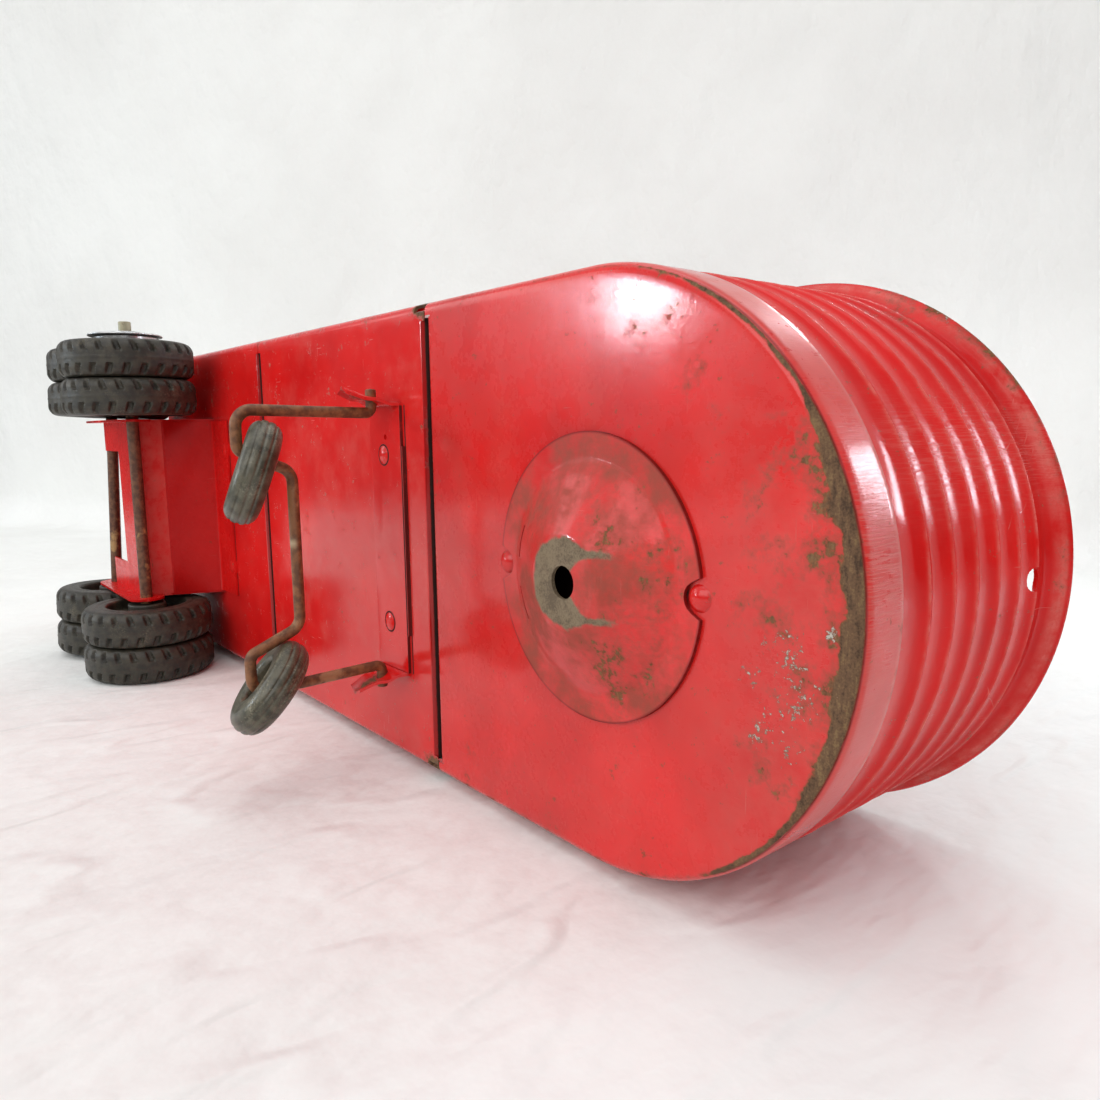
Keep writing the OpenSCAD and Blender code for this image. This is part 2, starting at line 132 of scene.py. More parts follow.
def sheetChunk(outer, inner, keep=None, closedU=False, joined=False, **marks):
    # two matching grids are the faces of a sheet, with an edge wall wherever a kept quad ends,
    # except along the first column where it is joined to itself
    nu, nv = outer.shape[:2]
    ids, faces = cells(nu, nv, closedU)
    keep = np.ones(faces.shape[:2], bool) if keep is None else keep
    top = faces[keep]
    if closedU:
        before, after = np.roll(keep, 1, 0), keep
    else:
        padded = np.pad(keep, ((1, 1), (0, 0)))
        before, after = padded[:-1], padded[1:]
    cut = before != after
    edgeA = np.stack([ids[:nu, :-1][cut], ids[:nu, 1:][cut]], -1)
    padded = np.pad(keep, ((0, 0), (1, 1)))
    cut = padded[:, :-1] != padded[:, 1:]
    cut[:, 0] &= not joined
    edgeB = np.stack([ids[:-1][cut], ids[1:][cut]], -1)
    edge = np.concatenate([edgeA, edgeB])
    under = nu * nv
    walls = np.stack([edge[:, 0], edge[:, 1], edge[:, 1] + under, edge[:, 0] + under], -1)
    return {"points": np.concatenate([outer.reshape(-1, 3), inner.reshape(-1, 3)]),
            "quads": np.concatenate([top, top[:, ::-1] + under, walls]),
            "marks": {k: np.tile(np.broadcast_to(v, (nu, nv)).ravel(), 2) for k, v in marks.items()}}


def roundHole(a, b, middleA, middleB, radius, slack):
    # cells of the grid (a, b) inside a circle are left out, and the corners next to them move onto it
    midA = (a[1:, 1:] + a[:-1, :-1]) / 2
    midB = (b[1:, 1:] + b[:-1, :-1]) / 2
    inside = np.hypot(midA - middleA, midB - middleB) < radius - slack
    touch = np.zeros(a.shape, bool)
    for rows in (slice(None, -1), slice(1, None)):
        for columns in (slice(None, -1), slice(1, None)):
            touch[rows, columns] |= inside
    far = np.maximum(np.hypot(a - middleA, b - middleB), 1e-6)
    scale = np.where(touch, radius / far, 1)
    return ~inside, middleA + (a - middleA) * scale, middleB + (b - middleB) * scale


mergeWithin = 2e-6      # metres


def meshOf(name, chunks):
    # one mesh of all the chunks with their marks, its doubles merged and its normals outwards
    points = laid(np.concatenate([c["points"] for c in chunks]))
    starts = np.cumsum([0] + [len(c["points"]) for c in chunks[:-1]])
    quads = np.concatenate([c["quads"] + s for c, s in zip(chunks, starts)])
    mesh = bpy.data.meshes.new(name)
    mesh.vertices.add(len(points))
    mesh.vertices.foreach_set("co", points.ravel().astype(np.float32))
    mesh.loops.add(quads.size)
    mesh.loops.foreach_set("vertex_index", quads.ravel().astype(np.int32))
    mesh.polygons.add(len(quads))
    mesh.polygons.foreach_set("loop_start", np.arange(0, quads.size, 4, dtype=np.int32))
    for mark in sorted({mark for c in chunks for mark in c["marks"]}):
        addMark(mesh, mark, "POINT", np.concatenate([c["marks"].get(mark, np.zeros(len(c["points"])))
                                                     for c in chunks]))
    mesh.update(calc_edges=True)
    work = bmesh.new()
    work.from_mesh(mesh)
    bmesh.ops.remove_doubles(work, verts=work.verts, dist=mergeWithin)
    bmesh.ops.delete(work, geom=[v for v in work.verts if not v.link_faces], context="VERTS")
    bmesh.ops.recalc_face_normals(work, faces=work.faces)
    work.to_mesh(mesh)
    work.free()
    return mesh


def placed(name, data):
    made = bpy.data.objects.new(name, data)
    bpy.context.scene.collection.objects.link(made)
    return made


def addMark(mesh, mark, domain, values):
    mesh.attributes.new(mark, "FLOAT", domain).data.foreach_set("value", values.astype(np.float32))


def addPiece(name, nodes, chunks, material, bodyName="trailer", sharp=35, bevel=0.0):
    return finished(meshOf(name, chunks), nodes, material, bodyName, sharp, bevel)


def softened(piece, name, width, segments, limit):
    edge = piece.modifiers.new(name, "BEVEL")
    edge.width = width / 1000
    edge.segments = segments
    edge.limit_method = limit
    return edge


def finished(mesh, nodes, material, bodyName, sharp, bevel, fold=0.0):
    # a mesh as a piece: edges past the angle stay sharp, and are softened by the bevel if it has one
    mesh.polygons.foreach_set("use_smooth", np.ones(len(mesh.polygons), bool))
    mesh.set_sharp_from_angle(angle=radians(sharp))
    mesh.materials.clear()
    mesh.materials.append(material)
    piece = placed(mesh.name, mesh)
    if fold:
        softened(piece, "fold", fold, 5, "WEIGHT")
    if bevel:
        softened(piece, "edge", bevel, 2, "ANGLE").angle_limit = radians(40)
    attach(piece, bodyName)
    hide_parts(*nodes)
    print("%s: %d faces" % (piece.name, len(mesh.polygons)))
    return piece


# a sheet is folded along its edges across the body that are longer than this and turn between two angles
folding = {"longer": 0.045, "least": radians(8), "most": radians(75)}


def dressed(name, node, material, bevel, fold=0.0, cutY=None, extra=None, marksOf=None):
    # a merged copy of a plain CAD solid with softened edges, and wider bends where its sheet is folded;
    # what lies below cutY is cut off and another mesh takes its place
    work = bmesh.new()
    work.from_mesh(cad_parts[node].data)
    bmesh.ops.remove_doubles(work, verts=work.verts, dist=mergeWithin)
    if cutY is not None:
        everything = work.verts[:] + work.edges[:] + work.faces[:]
        cut = bmesh.ops.bisect_plane(work, geom=everything, dist=1e-7, plane_co=(0, cutY, 0),
                                     plane_no=(0, -1, 0), clear_outer=True)
        bmesh.ops.edgenet_fill(work, edges=[e for e in cut["geom_cut"] if isinstance(e, bmesh.types.BMEdge)])
    bmesh.ops.dissolve_limit(work, angle_limit=radians(0.6), verts=work.verts, edges=work.edges)
    if extra is not None:
        work.verts.layers.float.new("wear")
        work.from_mesh(extra)
    if fold:
        weight = work.edges.layers.float.new("bevel_weight_edge")
        for edge in work.edges:
            along = edge.verts[1].co - edge.verts[0].co
            if abs(along.z) > folding["longer"] and folding["least"] < edge.calc_face_angle(0) < folding["most"]:
                edge[weight] = 1.0
    mesh = bpy.data.meshes.new(name)
    work.to_mesh(mesh)
    work.free()
    if marksOf:
        facing = np.empty(len(mesh.polygons) * 3, np.float32)
        mesh.polygons.foreach_get("normal", facing)
        for mark, values in marksOf(facing.reshape(-1, 3)).items():
            addMark(mesh, mark, "FACE", values)
    return finished(mesh, [node], material, "trailer", 30, bevel, fold)


class Value:
    # a socket of a shader tree: sums and products with it put Math nodes into the tree
    def __init__(self, tree, socket):
        self.tree, self.socket = tree, socket

    def math(self, operation, a, b=0):
        return put(self.tree, "Math", {0: a, 1: b}, operation=operation)

    def __add__(self, other):
        return self.math("ADD", self, other)

    def __sub__(self, other):
        return self.math("SUBTRACT", self, other)

    def __rsub__(self, other):
        return self.math("SUBTRACT", other, self)

    def __mul__(self, other):
        return self.math("MULTIPLY", self, other)

    def __abs__(self):
        return self.math("ABSOLUTE", self)


def feed(node, inputs):
    # links or sets a node's sockets
    for key, value in inputs.items():
        if isinstance(value, Value):
            value.tree.links.new(value.socket, node.inputs[key])
        else:
            node.inputs[key].default_value = value


def put(tree, kind, inputs, output=0, **settings):
    # what a new shader node gives
    node = tree.nodes.new("ShaderNode" + kind)
    for key, value in settings.items():
        setattr(node, key, value)
    feed(node, inputs)
    return Value(tree, node.outputs[output])


def greatest(value, *others):
    for other in others:
        value = value.math("MAXIMUM", value, other)
    return value


def noise(where, scale, detail=3.0, rough=0.5):
    return put(where.tree, "TexNoise", {"Vector": where, "Scale": scale, "Detail": detail, "Roughness": rough})


def stretched(where, scale, turn=(0, 0, 0)):
    return put(where.tree, "Mapping", {"Vector": where, "Scale": scale, "Rotation": turn})


def marked(where, mark):
    return put(where.tree, "Attribute", {}, "Fac", attribute_name=mark)


def step(value, low, high):
    return put(value.tree, "MapRange", {0: value, 1: low, 2: high}, interpolation_type="SMOOTHSTEP")


def ranged(value, first, last, low=0.0, high=1.0):
    # goes straight from first to last while the value goes from low to high
    return put(value.tree, "MapRange", {0: value, 1: low, 2: high, 3: first, 4: last})


def centred(value, amount):
    # a noise moved to swing about zero
    return (value - 0.5) * amount


def mixed(amount, a, b):
    # a colour is what a node gives, or a plain red, green and blue
    a, b = [colour if isinstance(colour, Value) else (*colour, 1.0) for colour in (a, b)]
    return put(amount.tree, "Mix", {0: amount, 6: a, 7: b}, 2, data_type="RGBA")


def reliefOf(height, strength, distance):
    return put(height.tree, "Bump", {"Strength": strength, "Distance": distance, "Height": height})


def startMaterial(name):
    material = bpy.data.materials.new(name)
    material.use_nodes = True
    tree = material.node_tree
    return material, tree.nodes["Principled BSDF"], put(tree, "TexCoord", {}, "Object")


enamel = {
    "red": (0.70, 0.0105, 0.0095),
    "deepRed": (0.56, 0.007, 0.007),
    "film": (0.66, 0.185, 0.15),
    "stain": (0.19, 0.062, 0.036),
    "rustDark": (0.062, 0.036, 0.022),
    "rust": (0.135, 0.076, 0.042),
    "rustPale": (0.21, 0.13, 0.062),
    "orange": (0.30, 0.09, 0.028),
    "chip": (0.47, 0.44, 0.38),
    "chipDark": (0.20, 0.165, 0.12),
    # shade is a painted shade colour; grime is the near-black used both for grime and for painted shadow in gaps, seams
    # and under the hitch plate
    "shade": (0.17, 0.004, 0.004),
    "grime": (0.022, 0.009, 0.007),
    "bare": (0.21, 0.158, 0.098),
    "bareDark": (0.115, 0.082, 0.05),
    "scratchRuns": [((110, 110, 2800), (0, 0, 0)), ((2600, 90, 130), (0.6, 0.3, 1.1))],
    "rubbedRun": (420, 150, 3300), "fibreRun": (900, 900, 230),
    "mattRough": 0.74, "reliefHigh": 0.00006,
    "pitHigh": 0.00002, "coatRough": 0.07,
}


def lineMask(coords, outline):
    # a thin line round a circle (x, z, radius, half width) or along an upright (x, low z, high z, half width, 0)
    x, z = [put(coords.tree, "SeparateXYZ", {0: coords}, axis) for axis in "XZ"]
    dx = x - outline[0]
    wide = outline[3]
    if len(outline) == 4:
        dz = z - outline[1]
        off = dx.math("SQRT", dx * dx + dz * dz) - outline[2]
    else:
        low, high = outline[1:3]
        off = abs(dx) + greatest(abs(z - (low + high) / 2) - (high - low) / 2, 0)
    return 1 - step(abs(off), wide * 0.4, wide * 1.6)


def enamelPaint(name, outlines=(), filmAmount=0.16, roughness=0.16, specular=0.5, veil=0.0, coat=0.0, relief=0.5):
    # glossy red enamel under an old film, which the film mark thickens, and which in places is painted sheen and
    # painted highlights: rust where "wear" is high with a brown stain round it, bare specks where "chip" is, dark
    # painted shade and then near-black grime and painted shadow where the shade-and-grime mark is or along the
    # outlines, which are dark lines, most of them painted shadow, fine parallel scrapes where "scrape" is, smooth bare
    # metal where "bare" is and a thin brown veil all over
    look = enamel
    material, shader, coords = startMaterial(name)
    wear, chip, dirt, film, scrape, bareness = [marked(coords, mark) for mark in
                                                ("wear", "chip", "dirt", "film", "scrape", "bare")]
    broad = noise(coords, 22, 4, 0.55)
    grime = noise(coords, 170, 8, 0.66)
    fine = noise(coords, 750, 5, 0.62)
    grain = noise(coords, 2600, 2, 0.5)
    paint = mixed(step(broad, 0.36, 0.66), look["deepRed"], look["red"])
    # the film mark pales the paint: worn film, and in places painted sheen and painted highlights
    cover = film * step(grime, 0.25, 0.7)
    paint = mixed(step(noise(coords, 60, 7, 0.65), 0.45, 0.75) * filmAmount + cover, paint, look["film"])
    # long fine scratches in two directions, gathered in places
    scratch = greatest(*[step(noise(stretched(coords, scale, turn), 1.0, 2, 0.4), 0.71, 0.77)
                         for scale, turn in look["scratchRuns"]])
    scratch = scratch * step(noise(coords, 45, 4, 0.6), 0.47, 0.63)
    rubbed = step(noise(stretched(coords, look["rubbedRun"]), 1.0, 3, 0.6), 0.47, 0.6)
    scratch = greatest(scratch, rubbed * scrape)
    paint = mixed(scratch * 0.45, paint, look["film"])
    # rust shows where the wear mark and the noises together pass a level, with a stain round it
    level = wear + centred(grime, 1.5) + centred(fine, 0.7)
    soft = step(noise(coords, 75, 6, 0.62) + centred(fine, 0.2), 0.36, 0.68)
    stain = greatest(step(level, 0.18, 0.62) * 0.62, soft * veil)
    paint = mixed(stain, paint, look["stain"])
    specks = step(fine + centred(grime, 0.7), 0.70, 0.73)
    rustMask = greatest(step(level, 0.5, 0.6), specks * 0.6)
    fibre = noise(stretched(coords, look["fibreRun"]), 1.0, 5, 0.65)
    tone = fibre + centred(grime, 0.5) + centred(grain, 0.5)
    rust = mixed(step(tone, 0.28, 0.52), look["rustDark"], look["rust"])
    rust = mixed(step(tone, 0.5, 0.74), rust, look["rustPale"])
    rust = mixed((1 - step(level, 0.56, 0.74)) * 0.35, rust, look["orange"])
    colour = mixed(rustMask, paint, rust)
    # chips down to pale metal, with a stained edge
    chipLevel = chip + centred(noise(coords, 800, 5, 0.7), 2.9) + centred(grime, 1.0)
    chipMask = step(chipLevel, 0.72, 0.78)
    colour = mixed(step(chipLevel, 0.55, 0.74) * 0.6, colour, look["stain"])
    colour = mixed(chipMask, colour, mixed(step(grain, 0.4, 0.6), look["chip"], look["chipDark"]))
    # dark painted shade where the shade-and-grime mark rises, then near-black where it is high or along the outlines:
    # grime, and painted shadow in gaps and recesses
    colour = mixed(step(dirt, 0.0, 0.5) * 0.85, colour, look["shade"])
    shadeAndGrimeMask = step(dirt + centred(fine, 0.7) + centred(grime, 0.5), 0.45, 0.85)
    for outline in outlines:
        shadeAndGrimeMask = greatest(shadeAndGrimeMask, lineMask(coords, outline) * step(grime, 0.1, 0.45))
    colour = mixed(shadeAndGrimeMask, colour, look["grime"])
    bareMask = step(bareness + centred(grime, 0.7) + centred(fine, 0.5), 0.3, 0.72)
    metal = mixed(step(grime + centred(grain, 0.5), 0.35, 0.62), look["bareDark"], look["bare"])
    dull = greatest(rustMask, chipMask)
    matt = greatest(dull, shadeAndGrimeMask, bareMask * 0.6)
    rough = ranged(matt, roughness, look["mattRough"])
    rough = rough + step(grime, 0.42, 0.72) * 0.1 + cover * 0.3 + scratch * 0.2 + stain * 0.35
    height = fine * 0.3 + dull * -1.4 + grain * stain * 1.6 + scratch * -1.5 + broad * 4.0
    feed(shader, {"Base Color": mixed(bareMask, colour, metal), "Roughness": rough,
                  "Specular IOR Level": ranged(greatest(shadeAndGrimeMask, step(dirt, 0.2, 0.6)), specular, specular * 0.25),
                  "Normal": reliefOf(height, relief, look["reliefHigh"])})
    if coat:
        # a clear glossy layer with fine pits, missing where the paint is dull
        feed(shader, {"Coat Normal": reliefOf(grain + fine * 0.6 + dull, 0.6, look["pitHigh"]),
                      "Coat Weight": ranged(greatest(matt, stain, cover), coat, 0.0, 0.0, 0.6),
                      "Coat Roughness": look["coatRough"]})
    return material


def metalFinish(name, dark, light, patch, metallic, roughness, scale, patchAt, tip=None):
    # tarnished metal: two browns or greys mottled, with patches of a third colour and one of its own
    # where the mark "tip" is
    material, shader, coords = startMaterial(name)
    mottle = noise(coords, scale, 6, 0.6)
    broad = noise(coords, scale * 0.22, 4, 0.55)
    grain = noise(coords, scale * 5, 3, 0.6)
    colour = mixed(step(mottle, 0.36, 0.64), dark, light)
    colour = mixed(step(broad + grain * 0.12, patchAt, patchAt + 0.1), colour, patch)
    if tip:
        colour = mixed(marked(coords, "tip") * step(mottle, 0.2, 0.5), colour, tip)
    feed(shader, {"Base Color": colour, "Metallic": metallic,
                  "Roughness": ranged(mottle, roughness + 0.12, roughness, 0.3, 0.7),
                  "Normal": reliefOf(mottle + grain * 0.5, 0.6, 0.00008)})
    return material


def rubberFinish(name, dark, light, dust, roughness, dustAt):
    # matt rubber with pale dust in patches and a fine grain
    material, shader, coords = startMaterial(name)
    broad = noise(coords, 70, 5, 0.6)
    mottle = noise(coords, 320, 6, 0.6)
    grain = noise(coords, 1900, 4, 0.6)
    colour = mixed(step(mottle, 0.35, 0.65), dark, light)
    colour = mixed(step(broad * 0.6 + grain * 0.4, dustAt, dustAt + 0.16), colour, dust)
    feed(shader, {"Base Color": colour,
                  "Roughness": ranged(grain, roughness - 0.08, roughness + 0.1, 0.3, 0.7),
                  "Normal": reliefOf(mottle * 0.8 + grain * 0.5, 0.5, 0.0001)})
    return material


# dark lines in metres, as lineMask takes them: round both leg rivets, painted shadow along the leg bracket's edges,
# its painted shadow on the middle pan, and a dark line across the middle of the rear pan
rivetRings = [(0.03835, 0.0948, 0.003, 0.00026), (0.03835, 0.0442, 0.003, 0.00026)]
bracketShadowLines = [(0.0497, 0.0415, 0.0975, 0.00035, 0), (0.0488, 0.0300, 0.1090, 0.00035, 0)]
middleLine = (0.0498, 0.0300, 0.1090, 0.0003, 0)
rearLine = (-0.0971, 0.0321, 0.1069, 0.0003, 0)

redEnamel = enamelPaint("redEnamel")
wallEnamel = enamelPaint("wallEnamel", filmAmount=0.04, roughness=0.11, specular=0.2)
noseEnamel = enamelPaint("noseEnamel", filmAmount=0.08, roughness=0.24, specular=0.3, veil=0.12, coat=0.5)
hitchEnamel = enamelPaint("hitchEnamel", filmAmount=0.08, roughness=0.27, specular=0.3, veil=0.74, coat=0.5)
middleEnamel = enamelPaint("middleEnamel", [middleLine], 0.2, 0.15)
rearEnamel = enamelPaint("rearEnamel", [rearLine], 0.06, 0.18)
bogieEnamel = enamelPaint("bogieEnamel", filmAmount=0.02, roughness=0.24, specular=0.14, relief=0.15)
bracketEnamel = enamelPaint("bracketEnamel", rivetRings + bracketShadowLines, 0.2, 0.15)
rustyWire = metalFinish("rustyWire", (0.115, 0.042, 0.017), (0.26, 0.108, 0.042), (0.36, 0.19, 0.09),
                        0.15, 0.42, 380, 0.68, (0.50, 0.40, 0.25))
brownRod = metalFinish("brownRod", (0.085, 0.036, 0.022), (0.19, 0.085, 0.045), (0.42, 0.26, 0.11),
                       0.35, 0.4, 520, 0.64, (0.36, 0.33, 0.22))
dullPlating = metalFinish("dullPlating", (0.42, 0.43, 0.43), (0.68, 0.69, 0.69), (0.28, 0.22, 0.15),
                          0.9, 0.24, 420, 0.7)
roadRubber = rubberFinish("roadRubber", (0.017, 0.015, 0.010), (0.042, 0.037, 0.024),
                          (0.125, 0.105, 0.068), 0.5, 0.54)
ringRubber = rubberFinish("ringRubber", (0.036, 0.034, 0.020), (0.10, 0.092, 0.060),
                          (0.26, 0.235, 0.165), 0.34, 0.52)
print("materials: %d" % len(bpy.data.materials))

wall = {
    "footZ": 2.4, "rimZ": 11.8, "footR": 65.8,
    "thick": 0.8,
    "ribFirstZ": 21.0, "ribPitch": 9.17, "ribCount": 6, "ribDepth": 1.3, "crestRound": 0.02, "hollow": 3.0,
    "railZ": 75.2, "railR": 67.3, "topZ": 77.6, "topR": 69.48,
    "holeZ": 66.85, "holeR": 2.7,
    "ripple": 0.06,
    "rowStep": 0.6, "crestRows": [0.07, 0.15, 0.3, 0.55, 0.9], "holeRowStep": 0.42,
    "columnStep": 1.35, "sideStep": 9, "fineAt": 4.2,
}
noseReach = body["halfWidth"] * pi / 2      # from the nose tip round to where the straight side starts


def aroundNose(s, r, z):
    # s runs round the plan from the right rear, past the nose tip at 0, to the left rear
    angle = np.clip(s / body["halfWidth"], -pi / 2, pi / 2)
    back = np.maximum(np.abs(s) - noseReach, 0)
    return places(r * np.cos(angle) - back, r * np.sin(angle), z)


def noseStations(backX, straightStep, arcStep, fineAt=0.0):
    # places along the plan line, closer together round the nose and closest at the hole
    straight = np.linspace(noseReach, noseReach - backX, max(2, round(-backX / straightStep) + 1))[1:]
    arc = np.arange(0, noseReach - 0.5 * arcStep, arcStep)[1:]
    if fineAt:
        arc = np.concatenate([np.arange(1, 10) * fineAt / 9, arc[arc > fineAt * 1.08]])
    half = np.concatenate([arc, [noseReach], straight])
    return np.concatenate([-half[::-1], [0], half])


def waviness(s, h, size):
    # slow ripples of hand-pressed sheet
    return size * (np.sin(s / 9.3 + h / 17.0) * 0.4 + np.sin(s / 23.0 - h / 11.0 + 1.3) * 0.6
                   + np.sin(s / 5.1 + 2.0) * np.sin(h / 13.0) * 0.3)


def makeWall():
    # outline r(z): foot, hollow valleys that meet in narrow crests a pitch apart, flare; a valley's height is
    # (1 - 2 * the way to the nearest crest / the pitch) to the power "hollow", rounded a little at the crest
    w = wall
    crests = w["ribFirstZ"] + w["ribPitch"] * np.arange(-1, w["ribCount"] + 1)
    beside = np.array(w["crestRows"])
    near = (crests[:, None] + np.concatenate([-beside[::-1], [0], beside])).ravel()
    z = np.concatenate([np.arange(w["footZ"], w["topZ"], w["rowStep"]), [w["rimZ"], w["topZ"]],
                        near[near > w["rimZ"] + 2.2], w["holeZ"] + np.arange(-8, 9) * w["holeRowStep"]])
    z = np.unique(np.round(z[z < w["topZ"] + 1e-6], 3))
    z = z[np.append(True, np.diff(z) > 0.05)]
    away = np.abs(z[:, None] - crests).min(1) / w["ribPitch"]
    away = np.sqrt(away ** 2 + w["crestRound"] ** 2) - w["crestRound"]
    ribs = np.clip(1 - 2 * away, 0, 1) ** w["hollow"]
    valley = body["halfWidth"] - w["ribDepth"]
    r = body["halfWidth"] - w["ribDepth"] * (1 - ribs)
    firstValley = w["ribFirstZ"] - w["ribPitch"] / 2
    rise = np.clip((firstValley - z) / (firstValley - w["rimZ"]), 0, 1)
    r = np.where(z < firstValley, valley + (w["footR"] - valley) * rise ** 1.6, r)
    lastValley = w["ribFirstZ"] + (w["ribCount"] - 0.5) * w["ribPitch"]
    rise = np.clip((z - lastValley) / (w["railZ"] - lastValley), 0, 1)
    r = np.where(z > lastValley, valley + (w["railR"] - valley) * rise ** w["hollow"], r)
    r += (w["topR"] - w["railR"]) * smooth(z, w["railZ"] - 0.6, w["topZ"] - 0.2)
    s = noseStations(body["rearX"] + body["sheet"], w["sideStep"], w["columnStep"], w["fineAt"])[:, None]
    free = between(z, 14, 20, 66, 72)
    r = r + free * waviness(s, z, w["ripple"])
    keep, s2, z2 = roundHole(s + 0 * z, z + 0 * s, 0, w["holeZ"], w["holeR"], 0.1)
    # wear along the rail and by the nose's right side; a pale film on the crests and along the rail's crease, worn
    # paint with a painted highlight, and a paler haze of film and painted sheen low on the wall by the nose's right
    # side;
    # darker at the foot just above the rim's edge; the angle is in degrees from the nose tip, positive to the left
    angle = np.degrees(s / body["halfWidth"])
    nearTop = smooth(z, w["topZ"] - 3.5, w["topZ"])
    wear = nearTop * (0.2 + 0.26 * bump(angle + 46, 13) + 0.12 * bump(angle + 20, 25)) \
        + 0.3 * bump(angle + 62, 7) * smooth(z, 40, 66)
    crest = smooth(ribs, 0.66, 0.95) + 0.8 * bump(z - w["railZ"], 0.5)
    film = 0.14 * bump(angle + 24, 14) * smooth(z, 14, 22) + (0.5 + 0.14 * np.sin(s / 7.0 + z)) * crest
    scrape = 0.5 * bump(angle + 25, 9) * smooth(z, 14, 22)
    chip = 0.55 * bump(angle + 55, 5) * nearTop + 0.2 * bump(angle + 66, 5) * smooth(z, 45, 66)
    sheet = sheetChunk(aroundNose(s2, r, z2), aroundNose(s2, r - w["thick"], z2), keep, wear=wear, film=film,
                       dirt=0.42 * bump(z - w["rimZ"] - 0.5, 0.7), scrape=scrape, chip=chip)
    addPiece("ribbedWall", ["nose_wall", "left_wall", "right_wall"], [sheet], wallEnamel)


pan = {
    "bend": 2.4, "rimH": 11.8, "edgeRound": 0.4,
    "lipBend": 2.5, "lipH": 4.0, "lipHalf": 62.7, "gap": 0.5,
    "reliefLen": 5.2, "reliefW": 2.4,
    "ripple": 0.05,
}
# worn and chipped places on the nose floor: x, y, radius, strength
wornSpots = [
    (42.0, -20.1, 2.2, 0.36), (41.0, -0.2, 3.0, 0.32), (28.7, -41.1, 3.4, 0.42), (31.1, -43.2, 2.4, 0.45),
    (12.7, -50.1, 4.0, 0.32), (2.3, -59.1, 3.0, 0.40), (48.0, 1.0, 4.5, 0.3), (52.0, -6.0, 3.5, 0.27),
    (40.5, -24.0, 3.0, 0.28), (57.0, -12.0, 4.0, 0.32), (22.0, -52.0, 4.0, 0.3), (55.0, 12.0, 4.0, 0.27),
    (35.0, -34.0, 5.0, 0.25), (45.0, 28.0, 6.0, 0.22), (50.0, -28.0, 6.0, 0.28), (-50.0, 55.0, 7.0, 0.22),
    (44.0, -12.0, 4.0, 0.24), (60.5, -20.0, 3.0, 0.36), (30.0, -55.0, 4.0, 0.34), (10.0, -61.0, 4.0, 0.33),
]
chippedSpots = [
    (60.5, 2.2, 1.7, 1.0), (56.5, 6.6, 1.2, 0.7), (58.2, 11.8, 1.1, 0.75), (52.0, 8.0, 6.0, 0.56),
    (54.0, 15.0, 7.0, 0.58), (48.5, 21.0, 5.0, 0.56), (47.0, 6.0, 3.0, 0.58), (44.0, 13.0, 3.5, 0.54),
    (45.5, 24.5, 3.0, 0.56), (53.0, 26.0, 4.0, 0.5), (50.0, 12.5, 2.0, 0.55), (46.5, 17.0, 2.0, 0.55),
    (52.5, 3.5, 2.5, 0.46), (40.5, -0.5, 2.0, 0.42),
]


def spotField(x, y, spots):
    # the strongest of a set of soft round spots at each place
    return np.max([strength * bump(np.hypot(x - spotX, y - spotY), radius)
                   for spotX, spotY, radius, strength in spots], 0)


def rimProfile(flatStep):
    # from the middle line out: flat, quarter bend, rim with a rounded edge; the outer line and the inner one
    p, t = pan, body["sheet"]
    side = body["halfWidth"]
    lines = []
    for inset, bend in ((0, p["bend"]), (t, p["bend"] - t)):
        corners = [[0, inset], [side - inset, inset], [side - inset, p["rimH"]], [side - t / 2, p["rimH"]]]
        lines.append(divided(roundedPath(corners, [bend, p["edgeRound"]], 0.45 * bend / p["bend"]), flatStep))
    count = min(len(line) for line in lines)
    outer, inner = [line[-count:] for line in lines]
    outer[0, 0] = inner[0, 0] = 0
    return outer, inner


